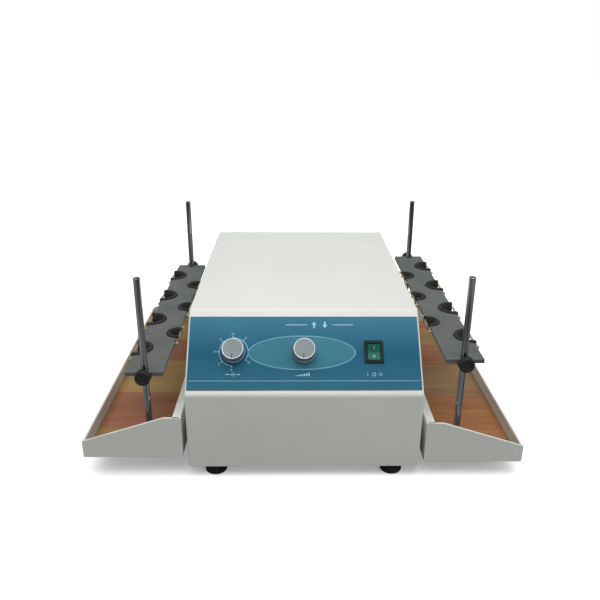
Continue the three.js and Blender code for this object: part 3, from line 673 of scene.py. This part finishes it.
def build_inlet():
    """Three-pin appliance inlet with two screws."""
    place = back_frame("power_inlet")
    inlet = Box("power_inlet", place)
    centre, low, high = inlet.middle, inlet.low.z, inlet.high.z
    half_x, half_y = inlet.half.x, inlet.half.y
    narrow = half_x * 0.58
    rim = mirrored(centre, (narrow, -half_y, 3 * MM), (half_x, 0, 2 * MM), (narrow, half_y, 3 * MM))
    well_x, well_y, wall = INLET.well_x, INLET.well_y, INLET.wall
    well = mirrored(centre, (well_x, -well_y, 1.5 * MM), (well_x, well_y * 0.3, 1 * MM),
                    (well_x * 0.66, well_y, 1 * MM))
    outer = block(centre, well_x + wall, well_y + wall, 2 * MM)
    seat = block(centre, well_x + wall / 2, well_y + wall / 2, 1 * MM)
    shapes = [plate(rim, high - INLET.flange, high, [well], 0.6 * MM, place),
              plate(outer, low, high - INLET.flange + INLET.overlap, [well], place=place),
              plate(seat, low + 0.2 * MM, low + INLET.floor, place=place)]
    piece("mains_inlet", shapes, BLACK_PLASTIC, "cabinet", ["power_inlet"])
    metal = []
    for x, y in INLET_PINS:
        blade = block((centre.x + x * MM, centre.y + y * MM), 1 * MM, 2 * MM, 0.6 * MM)
        metal.append(plate(blade, low + INLET.pin_foot, high - INLET.pin_top, (), 0.4 * MM, place))
    metal += [screw(centre.x + s * half_x * 0.8, centre.y, high, place, 2.4 * MM) for s in (-1, 1)]
    piece("inlet_pins", metal, SCREW_STEEL, "cabinet")


def build_fuse_cap():
    """Round fuse cap with a knurled edge and a finger ridge."""
    place = back_frame("power_inlet")
    fuse = Box("fuse_holder", place)
    radius, low, high = fuse.half.x, fuse.low.z, fuse.high.z
    here = place @ fuse.upright()
    cap_low, face, dish, neck = high - 2.4 * MM, high - 0.1 * MM, high - 0.7 * MM, radius - 1.5 * MM
    collar = [(0, cap_low), (radius, cap_low), (radius, high - 0.8 * MM), (radius - 0.7 * MM, face),
              (radius * 0.82, face), (radius * 0.8, dish), (0, dish)]
    ridge = block((0, 0), radius * 0.7, 0.7 * MM, 0.4 * MM)
    shapes = [lathe(collar, here, 96, flutes(24, 0.25 * MM, radius * 0.9)),
              lathe([(0, low), (neck, low), (neck, cap_low), (0, cap_low)], here),
              plate(ridge, high - 1 * MM, high, (), 0.2 * MM, here)]
    piece("fuse_cap", shapes, BLACK_PLASTIC, "cabinet", ["fuse_holder"])


FOOT = mm(bulge=1.2, edge=2.3, edge_height=2.6, recess=1.6)     # bulge: soft rubber past the CAD core


def build_foot(side, end):
    """A rubber foot with a rounded lower edge and a recess underneath."""
    node = f"foot_{end}_{side}"
    foot = Box(node)
    radius, top = foot.half.x + FOOT.bulge, foot.high.z
    recess = radius * 0.45
    profile = [(0, FOOT.recess), (recess, FOOT.recess), (recess + 0.6 * MM, 0.2 * MM),
               (recess + 1.2 * MM, 0)]
    profile += curve(FOOT.edge - 0.2 * MM, FOOT.edge_height, (radius - FOOT.edge, FOOT.edge_height),
                     [math.radians(turn) for turn in range(-90, 1, 15)])
    profile += [(radius, top - 2 * MM), (radius, top), (0, top)]
    piece(f"rubber_{node}", [lathe(profile, foot.upright(), 56)], RUBBER, "cabinet", [node])


# ---- Control panel ----

LABEL = Box("panel_label", PANEL)
INK = 0.07 * MM         # thickness of a print


def printed(outline, holes=(), x=0.0, y=0.0, lift=0.0):
    """Ink on the label: a very thin plate, lifted by a number of ink thicknesses."""
    base = LABEL.high.z + lift * INK
    return plate(outline, base - INK / 2, base + INK, holes, 0, PANEL @ moved(x, y, 0))


def strokes(x, y, *boxes, lift=0.0):
    """Ink rectangles at a spot of the panel, each (x0, x1, y0, y1) in millimetres from that spot."""
    return [printed(rectangle(*(edge * MM for edge in box)), (), x, y, lift) for box in boxes]


def ring(x, y, radius, inner):
    return printed(circle(radius, (x, y)), [circle(inner, (x, y))])


def arc_band(radius, width, first, last, x=0.0, y=0.0):
    outer = arc(radius + width / 2, first, last, (x, y), 40)
    inner = arc(radius - width / 2, last, first, (x, y), 40)
    return printed(outer + inner)


def digits(text, size, x, y):
    """Numbers of a dial as printed ink."""
    font = bpy.data.curves.new("digits", "FONT")
    font.body = text
    font.size = size
    font.align_x = "CENTER"
    font.align_y = "CENTER"
    font.extrude = INK / 2
    font.resolution_u = 3
    holder = linked("digits", font)
    bpy.context.view_layer.update()
    shape = bmesh.new()
    shape.from_mesh(holder.to_mesh())
    holder.to_mesh_clear()
    bpy.data.objects.remove(holder)
    bpy.data.curves.remove(font)
    shape.transform(PANEL @ moved(x, y, LABEL.high.z + INK / 2))
    return shape


def polar(radius, degrees):
    angle = math.radians(degrees)
    return radius * math.cos(angle), radius * math.sin(angle)


def tick(x, degrees, inner, outer, width):
    """A short radial mark of a dial about (x, 0)."""
    turn = Matrix.Rotation(math.radians(degrees), 2)
    return printed([turn @ p for p in rectangle(inner, outer, -width / 2, width / 2)], x=x)


def dial_angles(first, sweep, count):
    """The directions of a dial's marks in degrees, clockwise from the first."""
    return [first - sweep * i / (count - 1) for i in range(count)]


TIMER_ANGLES = dial_angles(265, 300, 8)
TIMER_DIAL = mm(inner=18.8, outer=21.4, width=0.9, numbers=24, size=3.9, line=18.6, line_width=0.7)
MINUTES_PER_MARK = 5
SPEED_ANGLES = dial_angles(225, 270, 11)
SPEED_DIAL = mm(inner=17.2, outer=18.6, long=19.6, width=0.8, size=4, numbers_x=23.744, numbers_y=21.504)
LONG_MARK_EVERY = 5


def timer_marks():
    dial, angles = TIMER_DIAL, TIMER_ANGLES
    marks = []
    for i, angle in enumerate(angles):
        marks.append(tick(TIMER_X, angle, dial.inner, dial.outer, dial.width))
        x, y = polar(dial.numbers, angle)
        marks.append(digits(str(i * MINUTES_PER_MARK), dial.size, TIMER_X + x, y))
    return [*marks, arc_band(dial.line, dial.line_width, angles[0], angles[-1], TIMER_X)]


def speed_marks():
    dial, angles = SPEED_DIAL, SPEED_ANGLES
    marks = []
    for i, angle in enumerate(angles):
        outer = dial.outer if i % LONG_MARK_EVERY else dial.long
        marks.append(tick(0, angle, dial.inner, outer, dial.width))
    for text, angle in (("0", angles[0]), ("10", angles[-1])):
        x, y = polar(1, angle)
        marks.append(digits(text, dial.size, x * dial.numbers_x, y * dial.numbers_y))
    return marks


def clock_sign(x, y):
    """A small clock face between two dashes."""
    return [ring(x, y, 2.3 * MM, 1.8 * MM), *strokes(x, y, (-0.25, 0.25, 0, 1.4)),
            *strokes(x, y, (0, 1.1, -0.25, 0.25), lift=0.2),
            *strokes(x, y, (-9.1, -3.9, -0.5, 0.5), (3.9, 9.1, -0.5, 0.5))]


def ramp_sign(x, y):
    """A rising wedge, the usual sign of a speed control."""
    count, pitch, width, foot, first_top, rise = 7, 2.7, 1.7, -2.2, -1.4, 0.6
    lefts = [(i - count / 2) * pitch for i in range(count)]
    return strokes(x, y, *[(left, left + width, foot, first_top + i * rise) for i, left in enumerate(lefts)])


def power_sign(x, y):
    """A stand-by ring with its stroke, between an off ring and an on bar."""
    gap = 32
    standby = arc_band(2.2 * MM, 0.7 * MM, 90 + gap, 450 - gap, x, y)
    return [standby, *strokes(x, y, (-0.35, 0.35, 0.4, 3), (-8.4, -7.6, -2.2, 2.2)),
            ring(x + 8 * MM, y, 2.1 * MM, 1.5 * MM)]


def arrow_sign(x, y, up):
    """A solid arrow, up or down the panel."""
    head = [Vector((a * MM, up * b * MM)) for a, b in ((-3.4, 0), (3.4, 0), (0, 4.6))]
    stem = sorted((0, -4.4 * up))
    return [printed(head, x=x, y=y), *strokes(x, y, (-1.2, 1.2, *stem))]


def motion_sign():
    """Where the label's heading stands: arrows up and down between two rules."""
    row = 36.5 * MM
    rules = strokes(0, row, (-24, 4, -0.5, 0.5), (36, 64, -0.5, 0.5))
    return arrow_sign(13 * MM, row, 1) + arrow_sign(27 * MM, row, -1) + rules


OVAL = mm(x=-3, y=-1, half_x=69, half_y=23, line=1.5)
RULE = mm(height=12.05, half_width=0.55, inset=2)       # the line low on the label, up from its lower edge
SIGNS_Y = -29.6 * MM


def build_label():
    rim = block(LABEL.middle, LABEL.half.x, LABEL.half.y, 1.2 * MM)
    overlay = plate(rim, LABEL.low.z, LABEL.high.z, panel_holes(1.5 * MM), 0.12 * MM, PANEL)
    piece("label_overlay", [overlay], LABEL_BLUE, "cabinet", ["panel_label"])

    centre = (OVAL.x, OVAL.y)
    outer = ellipse(OVAL.half_x, OVAL.half_y, centre)
    inner = ellipse(OVAL.half_x - OVAL.line, OVAL.half_y - OVAL.line, centre)
    piece("label_oval", [printed(inner, [circle(SPINDLE)])], OVAL_TEAL, "cabinet")
    rule_at = (LABEL.middle.x, LABEL.low.y + RULE.height)
    rule = block(rule_at, LABEL.half.x - RULE.inset, RULE.half_width)
    piece("label_lines", [printed(outer, [inner]), printed(rule)], LINE_INK, "cabinet")
    marks = timer_marks() + speed_marks() + clock_sign(TIMER_X, SIGNS_Y) + ramp_sign(-2 * MM, SIGNS_Y)
    marks += power_sign(SWITCH_X - 1 * MM, SIGNS_Y) + motion_sign()
    piece("label_marks", marks, LIGHT_INK, "cabinet")


def stepped(points, height, way=1):
    """Profile points from (radius, step) pairs in millimetres; steps go up (1) or down (-1) from a height."""
    return [(radius * MM, height + way * step * MM) for radius, step in points]


# A knob's profile: the skirt is measured up from its base, the rim and the disc down from its top.
KNOB_SKIRT = [(0, 0), (15, 0), (15.5, 0.5), (15.5, 2.4), (15, 3), (14.7, 3.4), (14.5, 4)]
KNOB_RIM = [(14, 1.6), (14, 1), (13.9, 0.6), (13.4, 0), (12.7, 0), (12.4, 0.3), (0, 0.3)]
KNOB_DISC = [(0, 0.5), (12.4, 0.5), (12.4, 0.22), (0, 0.22)]
POINTER = mm(half_width=0.6, inner=6.3, outer=12.1, bottom=0.3, top=0.12)


def build_knob(name, x, finish_face):
    """A turned knob with a fluted side and a bright rim, its cap and a pointer line."""
    knob = Box(name, PANEL)
    place = PANEL @ moved(x, 0, 0)
    base, top = knob.low.z, knob.high.z
    skirt, rim = stepped(KNOB_SKIRT, base), stepped(KNOB_RIM, top, -1)
    flute_low, flute_high = skirt[-1][1], rim[0][1]
    spare = 0.1 * MM
    side = [*skirt, (14.3 * MM, (flute_low + flute_high) / 2), *rim]
    fluted = flutes(48, 0.45 * MM, 0, flute_low - spare, flute_high + spare)
    piece(f"{name}_grip", [lathe(side, place, 192, fluted)], GRIP_METAL, name, [name])
    piece(f"{name}_cap", [lathe(stepped(KNOB_DISC, top, -1), place, 96)], finish_face, name)
    half = POINTER.half_width
    pointer = rectangle(-half, half, POINTER.inner, POINTER.outer, 0.3 * MM)
    turn = place @ Matrix.Rotation(math.radians(TIMER_ANGLES[0] - 90), 4, "Z")
    mark = plate(pointer, top - POINTER.bottom, top - POINTER.top, (), 0.03 * MM, turn)
    piece(f"{name}_pointer", [mark], BLACK_PLASTIC, name)


def build_knobs():
    for name, x in (("timer_knob", TIMER_X), ("speed_knob", 0.0)):
        build_knob(name, x, turned_metal(f"{name}_cap_metal", PANEL @ Vector((x, 0, 0))))


SWITCH = mm(gap_x=8.3, gap_y=11.1, flange=2)
ROCKER_TILT = math.radians(12)
ROCKER = mm(half_x=8, half_y=10, end=3.5, middle=1.6, pivot=1)


def build_switch_frame():
    """The bezel with its raised lip, the walls below it and their floor."""
    bezel = Box("switch_bezel", PANEL)
    low, high = bezel.low.z, bezel.high.z

    def around(past, radius):
        """A rectangle about the gap that the rocker tilts in, some way past it."""
        return block(bezel.middle, SWITCH.gap_x + past, SWITCH.gap_y + past, radius)

    well = around(0, 0.6 * MM)
    rim = block(bezel.middle, bezel.half.x, bezel.half.y, 1.6 * MM)
    shapes = [plate(rim, high - SWITCH.flange, high - 0.3 * MM, [well], 0.6 * MM, PANEL),
              plate(around(1.6 * MM, 1 * MM), high - 1 * MM, high, [well], 0.35 * MM, PANEL),
              plate(around(2.5 * MM, 0.8 * MM), low, high - 1.5 * MM, [well], place=PANEL),
              plate(around(1.5 * MM, 0.8 * MM), low + 0.2 * MM, low + 4 * MM, place=PANEL)]
    piece("switch_frame", shapes, BEZEL_PLASTIC, "cabinet", ["switch_bezel"])


def build_rocker():
    """The dished paddle of the rocker with an on bar and an off ring."""
    pivot = PANEL.inverted() @ Vector(JOINTS["switch_tilt"]["pos_m"])
    seat = Box("switch_bezel", PANEL).high.z - SWITCH.flange - ROCKER.pivot
    place = PANEL @ moved(pivot.x, 0, seat) @ Matrix.Rotation(ROCKER_TILT, 4, "X")
    reach, middle = ROCKER.half_y, ROCKER.middle + ROCKER.pivot
    dip = ROCKER.end - ROCKER.middle

    def face(share):
        """Height of the paddle's face at a share of its reach."""
        return middle + dip * abs(share) ** 1.25

    dish = [Vector((reach * k / 8, face(k / 8))) for k in range(8, -9, -1)]
    outline = arc(reach, 180, 360, chords=18) + dish
    paddle = plate(outline, -ROCKER.half_x, ROCKER.half_x, (), 0.45 * MM, place @ across())
    piece("switch_paddle", [paddle], GREEN, "switch_rocker", ["switch_rocker"])
    share = 0.55
    slope = math.atan2(dip, reach) * 1.1
    signs = []
    for end, outline, holes in ((1, block((0, 0), 0.35 * MM, 1.9 * MM), ()),
                                (-1, circle(1.8 * MM), [circle(1.2 * MM)])):
        spot = moved(0, end * reach * share, face(share)) @ Matrix.Rotation(end * slope, 4, "X")
        signs.append(plate(outline, -0.1 * MM, 0.12 * MM, holes, 0, place @ spot))
    piece("switch_signs", signs, LIGHT_INK, "switch_rocker")


# ---- Trays ----

TRAY = mm(inner_height=58, outer_height=24, end_flat=22, lip=11, hem=2.8, hem_height=6, mat_hole=8.1)


def build_tray(side, sign):
    """A folded tray with hemmed edges, seen along Y from its inner lower corner, and its mat."""
    low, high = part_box(f"tray_{side}")
    width = high.x - low.x
    inner = low.x if sign > 0 else high.x
    place = basis((inner, 0, low.z), (sign, 0, 0), (0, 0, 1), (0, -sign, 0))
    near, far = sorted((-sign * low.y, -sign * high.y))
    tall, short, flat, lip = TRAY.inner_height, TRAY.outer_height, TRAY.end_flat, TRAY.lip
    hem, drop = TRAY.hem, TRAY.hem_height
    inner_bend, gap = TRAY_BEND - SHEET, 0.3 * MM
    section = rounded([
        (lip, tall, 0.3 * MM), (0, tall, TRAY_BEND), (0, 0, TRAY_BEND), (width, 0, TRAY_BEND),
        (width, short, 1 * MM), (width - hem, short, 1 * MM), (width - hem, short - drop, 0.3 * MM),
        (width - SHEET, short - drop, 0.1 * MM), (width - SHEET, SHEET, inner_bend),
        (SHEET, SHEET, inner_bend), (SHEET, tall - SHEET, inner_bend), (lip, tall - SHEET, 0.3 * MM)])
    wall = rounded([(0, 0, 2 * MM), (width, 0, TRAY_BEND), (width, short, 2.5 * MM), (flat, tall, 6 * MM),
                    (0, tall, 2 * MM)])
    rim = rounded([(width - 2 * MM, short - drop, 0.5 * MM), (width - 2 * MM, short + 0.2 * MM, 1 * MM),
                   (flat, tall, 6 * MM), (SHEET, tall, 1 * MM), (SHEET, tall - drop, 0.5 * MM),
                   (flat, tall - drop, 6 * MM)])
    shapes = [plate(section, near + gap, far - gap, (), 0.1 * MM, place)]
    for outline, start, end in ((wall, near, near + SHEET), (wall, far - SHEET, far),
                                (rim, near + gap, near + hem), (rim, far - hem, far - gap)):
        shapes.append(plate(outline, start, end, (), 0.5 * MM, place))
    piece(f"tray_{side}_sheet", shapes, COAT, f"tray_{side}", [f"tray_{side}"])

    mat = Box(f"tray_mat_{side}")
    holes = [circle(TRAY.mat_hole, Box(f"support_rod_{end}_{side}").middle, 28) for end in ENDS]
    rim = block(mat.middle, mat.half.x, mat.half.y, 2.5 * MM)
    film = plate(rim, mat.low.z, mat.high.z, holes, 0.5 * MM)
    piece(f"vinyl_mat_{side}", [film], MATS[side], f"tray_{side}", [f"tray_mat_{side}"])


ROD_RADIUS = 4.25 * MM
ROD_CHAMFER = 1.1 * MM
NUT = mm(radius=7.5, height=5.8)
WASHER = [(0, 0), (8, 0), (8, 1.2), (0, 1.2)]
COLLAR = [(0, 0), (5.9, 0), (5.9, 6.6), (5.3, 7), (0, 7)]


def build_rod(side, end):
    """A round rod with a domed top, and its nut, collar and washer."""
    box = Box(f"support_rod_{end}_{side}")
    place, foot, shoulder = box.upright(), box.low.z, box.high.z - ROD_CHAMFER
    profile = [(0, foot), (ROD_RADIUS, foot), (ROD_RADIUS, shoulder)]
    profile += curve(ROD_CHAMFER, ROD_CHAMFER, (ROD_RADIUS - ROD_CHAMFER, shoulder), (0.5, 1.0, 1.57))
    nut = circle(NUT.radius, sides=6)
    shapes = [lathe([*profile, (0, box.high.z)], place), lathe(stepped(WASHER, foot), place),
              lathe(stepped(COLLAR, foot), place, 32),
              plate(nut, foot, foot + NUT.height, (), 0.5 * MM, place)]
    piece(f"rod_{end}_{side}", shapes, ROD_STEEL_PAINTED_REFLECTIONS, f"tray_{side}", [f"support_rod_{end}_{side}"])


# ---- Clamp bars ----

BAR = mm(thickness=6, hole=4.7, block_half=9, block_length=26)
NOTCH = {"outer": mm(radius=21.5, inset=1), "inner": mm(radius=16.5, inset=0)}    # inset: of its centre
CUP = mm(wall=5, proud=2.8, past=2.6)
CUP_DEPTH = {"outer": mm(tips=15, back=19), "inner": mm(tips=7.6, back=15)}
PIN = mm(spacing=28, radius=1.1, head=1.9, reach=3.6, drop=3.2, dome=1.2)
BAND = mm(thickness=0.9, start=1.2, end=2.7)


def notches_of(side, sign):
    """Each notch of a bar as (name, row, direction it opens to along X, its place along Y)."""
    found = []
    for name, opening in OPENINGS.items():
        if "_notch_" in name and name.endswith(side):
            low, high = opening["box_m"]
            row = name.split("_")[0]
            found.append((name, row, sign if row == "outer" else -sign, (low[1] + high[1]) / 2))
    return found


def bar_rim(half_x, half_y, bites):
    """The bar's outline with a round bite for each (direction, place, row)."""
    rim = [Vector((-half_x, -half_y)), Vector((half_x, -half_y))]
    for edge in (1, -1):
        along = sorted(bite[1:] for bite in bites if bite[0] == edge)[::edge]
        for place, row in along:
            radius, inset = NOTCH[row].radius, NOTCH[row].inset
            open_angle = math.degrees(math.acos(inset / radius))
            notch = arc(radius, -open_angle, open_angle - 360, (half_x - inset, 0), 36)
            rim += [Vector((edge * p.x, place + edge * p.y)) for p in notch]
        if edge == 1:
            rim += [Vector((half_x, half_y)), Vector((-half_x, half_y))]
    return rim


def liner(row, half_x, edge, y, place):
    """A moulded rubber cup that lines a notch, shallower at its two tips than at its back."""
    shallow, deep = CUP_DEPTH[row].tips, CUP_DEPTH[row].back
    outer = NOTCH[row].radius - 0.15 * MM
    inner = NOTCH[row].radius - CUP.wall
    tip = NOTCH[row].inset + CUP.past
    centre = half_x - NOTCH[row].inset
    rim = [(tip, outer), *arc(outer, 90, 270, chords=30), (tip, -outer), (tip, -inner),
           *arc(inner, 270, 90, chords=26), (tip, inner)]
    cup = plate([Vector((edge * (centre + a), y + b)) for a, b in rim], -deep, CUP.proud, (), 1.3 * MM)
    for vertex in cup.verts:
        if vertex.co.z < -shallow:
            behind = (centre - edge * vertex.co.x) / outer
            depth = shallow + (deep - shallow) * min(1, max(0, behind * 1.5))
            vertex.co.z *= depth / deep
    cup.transform(place)
    return cup


def pin(x, y, z, edge, place):
    """A round-headed pin that stands out of the bar's edge."""
    neck, head, reach, dome = PIN.radius, PIN.head, PIN.reach, PIN.dome
    rim = reach + 0.2 * MM
    profile = [(0, -1 * MM), (neck, -1 * MM), (neck, reach - 0.4 * MM), (head, reach - 0.3 * MM),
               (head, rim), *curve(head, dome - 0.2 * MM, (0, rim), (0.5, 1.0, 1.3)), (0, reach + dome)]
    return lathe(profile, place @ across((x, y, z), edge), 20)


def band(x, y, z, edge, place):
    """A flat elastic loop round the two pins of a notch."""
    def loop(radius):
        run = PIN.spacing
        return arc(radius, -90, 90, (run, 0), 8) + arc(radius, 90, 270, (-run, 0), 8)

    inner = PIN.radius
    ends = sorted((edge * BAND.start, edge * BAND.end))
    return plate(loop(inner + BAND.thickness), *ends, [loop(inner)], 0.2 * MM, place @ across((x, y, z)))


def build_bar(side, sign):
    """A notched bar with its end blocks, cups, pins and bands."""
    node = f"clamp_bar_{side}"
    bar = Box(node)
    centre, half_x, half_y = bar.middle, bar.half.x, bar.half.y
    place = moved(centre.x, centre.y, bar.high.z)
    notches = [(name, row, edge, y - centre.y) for name, row, edge, y in notches_of(side, sign)]
    rods = [Box(f"support_rod_{end}_{side}") for end in ENDS]
    holes = [circle(BAR.hole, (0, rod.middle.y - centre.y), 28) for rod in rods]
    rim = bar_rim(half_x, half_y, [(edge, y, row) for _, row, edge, y in notches])
    shapes = [plate(rim, -BAR.thickness, 0, holes, 0.45 * MM, place)]
    for end_sign in ENDS.values():
        ends = sorted((end_sign * (half_y - 0.3 * MM), end_sign * (half_y - BAR.block_length)))
        rim = rectangle(-BAR.block_half, BAR.block_half, *ends, 1 * MM)
        shapes.append(plate(rim, -2 * bar.half.z, 0.5 * MM - BAR.thickness, (), 0.5 * MM, place))
    piece(f"pvc_bar_{side}", shapes, PVC, node, [node])

    pins = []
    for name, row, edge, y in notches:
        piece(f"liner_{name}", [liner(row, half_x, edge, y, place)], LINER, node, crease=50)
        x, z = edge * half_x, -PIN.drop
        pins += [pin(x, y + s * PIN.spacing, z, edge, place) for s in (-1, 1)]
        piece(f"band_{name}", [band(x, y, z, edge, place)], LATEX, node)
    piece(f"band_pins_{side}", pins, BRASS, node)


GRIP = mm(length=10, hub_end=9.8, round=1.8, chamfer_x=1.2, chamfer_y=1.4, recess=0.5, flute=0.7)
STUD = mm(root=2.1, crest=2.5, pitch=0.8, tip=1.6)


def build_clamp_knob(side, end, end_sign):
    """A knurled hand knob on a threaded stud that bears on the rod."""
    node = f"clamp_knob_{end}_{side}"
    knob = Box(node)
    radius, reach = knob.half.x, 2 * knob.half.y
    face = (knob.middle.x, knob.middle.y + end_sign * knob.half.y, knob.middle.z)
    place = basis(face, (1, 0, 0), (0, 0, end_sign), (0, -end_sign, 0))
    length, hub_end, edge = GRIP.length, GRIP.hub_end, GRIP.round
    head = [(0, GRIP.recess), (radius * 0.5, GRIP.recess), (radius * 0.56, 0), (radius - edge, 0)]
    head += curve(edge, edge, (radius - edge, edge), [a - math.pi / 2 for a in (0.5, 1.0, 1.5708)])
    head += [(radius, length - GRIP.chamfer_y), (radius - GRIP.chamfer_x, hub_end),
             (radius * 0.5, hub_end), (radius * 0.5, length), (0, length)]
    knurled = flutes(22, GRIP.flute, radius - 0.3 * MM)
    piece(f"hand_knob_{end}_{side}", [lathe(head, place, 132, knurled)], BLACK_PLASTIC, node,
          [node])
    thread = [(0, length - 1 * MM)]
    for k in range(int((reach - length) / STUD.pitch)):
        z = length + k * STUD.pitch
        thread += [(STUD.root, z), (STUD.crest, z + STUD.pitch / 2)]
    thread += [(STUD.root, reach - 0.2 * MM), (STUD.tip, reach), (0, reach)]
    piece(f"stud_{end}_{side}", [lathe(thread, place, 24)], SCREW_STEEL, node)


# ---- Carried-over drive parts ----

DRIVE = {
    "base_plate": COAT, "timer_movement": BLACK_PLASTIC, "speed_potentiometer": BLACK_PLASTIC,
    "control_board": BOARD, "motor": ALUMINIUM, "motor_bracket": PLATE_STEEL, "motor_pulley": SHAFT_STEEL,
    "shaft_pulley": ALUMINIUM, "drive_belt": RUBBER, "main_shaft": SHAFT_STEEL, "shaft_bearing": PLATE_STEEL,
    "crank_disc": PLATE_STEEL, "connecting_rod": PLATE_STEEL, "guide_head": ALUMINIUM,
    "carriage": ALUMINIUM, "guide_post": SHAFT_STEEL, "tray_arm": PLATE_STEEL,
}


def dress_drive():
    """Gives each CAD node that stays visible the finish of its kind."""
    for name, node in frame["nodes"].items():
        kind = name
        for ending in ("_left", "_right", "_front", "_rear"):
            kind = kind.removesuffix(ending)
        for slot in node.material_slots:
            slot.material = DRIVE.get(kind, slot.material)


# ---- Camera, light and floor ----

CAMERA = SimpleNamespace(place=(-0.0169, -0.9351, 0.5222), lens=38.718, sensor=36.0,
                         pitch=math.radians(21.24), yaw=math.radians(0.86), roll=math.radians(0.33))


def build_camera():
    pitch, yaw, roll = CAMERA.pitch, CAMERA.yaw, CAMERA.roll
    forward = Vector((math.sin(yaw) * math.cos(pitch), math.cos(yaw) * math.cos(pitch), -math.sin(pitch)))
    level = Vector((math.cos(yaw), -math.sin(yaw), 0))
    rise = level.cross(forward)
    right = math.cos(roll) * level + math.sin(roll) * rise
    up = math.cos(roll) * rise - math.sin(roll) * level
    data = bpy.data.cameras.new("camera")
    data.lens = CAMERA.lens
    data.sensor_width = CAMERA.sensor
    data.clip_start, data.clip_end = 0.05, 60
    camera = linked("camera", data)
    camera.matrix_world = basis(CAMERA.place, right, up, -forward)
    bpy.context.scene.camera = camera


def sun(name, strength, softness, towards):
    """A distant light that shines towards a direction, with its softness in degrees."""
    data = bpy.data.lights.new(name, "SUN")
    data.energy = strength
    data.angle = math.radians(softness)
    linked(name, data).matrix_world = Vector(towards).to_track_quat("-Z", "Y").to_matrix().to_4x4()


CEILING = [(0.0, 0.05), (0.45, 0.07), (0.72, 0.68), (1.0, 0.76)]    # level by height, from below to above
STRIPS = [(-104, 20, 0.7), (74, 40, 1.0)]                          # azimuth from the front, width, level


def strip_levels():
    """Ramp stops for the upright strips over a full turn; the front, -Y, is at both ends of ARCTAN2."""
    soft = 0.006
    stops = [(0.0, 0.0)]
    spread = sorted((-azimuth % 360 / 360, width / 720, level) for azimuth, width, level in STRIPS)
    for middle, half, level in spread:
        stops += [(middle - half - soft, 0.0), (middle - half, level), (middle + half, level),
                  (middle + half + soft, 0.0)]
    return [(at, grey(level)) for at, level in stops]


def build_light():
    """A white room for the eye, and for the light a bright ceiling, dim walls and bright upright strips."""
    world = bpy.data.worlds.new("studio")
    bpy.context.scene.world = world
    sky = Graph(world)
    seen, output = sky.nodes["Background"], sky.nodes["World Output"]
    seen.inputs["Color"].default_value = grey(1)
    seen.inputs["Strength"].default_value = 1.0
    where = sky.node("ShaderNodeTexCoord", "Generated", {})
    split = sky.node("ShaderNodeSeparateXYZ", "Z", {"Vector": where})
    ceiling = sky.ramp(split, [(at, grey(level)) for at, level in CEILING])
    east_west, north_south = split.node.outputs["X"], split.node.outputs["Y"]
    azimuth = sky.node("ShaderNodeMath", 0, {0: east_west, 1: north_south}, operation="ARCTAN2")
    strips = sky.ramp(sky.scaled(azimuth, -math.pi, math.pi), strip_levels())
    level = sky.node("ShaderNodeMath", 0, {0: ceiling, 1: strips}, operation="ADD")
    lighting = sky.node("ShaderNodeBackground", 0, {"Color": (0.985, 0.995, 1, 1), "Strength": level})
    ray = sky.node("ShaderNodeLightPath", "Is Camera Ray", {})
    sky.feed(output.inputs["Surface"], sky.node("ShaderNodeMixShader", 0, {
        0: ray, 1: lighting, 2: seen.outputs[0]}))
    sun("key", strength=1.6, softness=60, towards=(0.08, 0.22, -1))
    bpy.context.scene.view_settings.view_transform = "Standard"


def build_floor():
    radius, thickness = 14, 0.02
    floor = held("floor", plate(circle(radius, sides=64), -thickness, 0, (), 0))
    floor.data.materials.append(floor_finish())


build_camera()
build_hood()
build_back()
build_inlet()
build_fuse_cap()
for side in SIDES:
    for end in ENDS:
        build_foot(side, end)
build_label()
build_knobs()
build_switch_frame()
build_rocker()
for side, sign in SIDES.items():
    build_tray(side, sign)
    build_bar(side, sign)
    for end, end_sign in ENDS.items():
        build_rod(side, end)
        build_clamp_knob(side, end, end_sign)
dress_drive()
build_floor()
build_light()
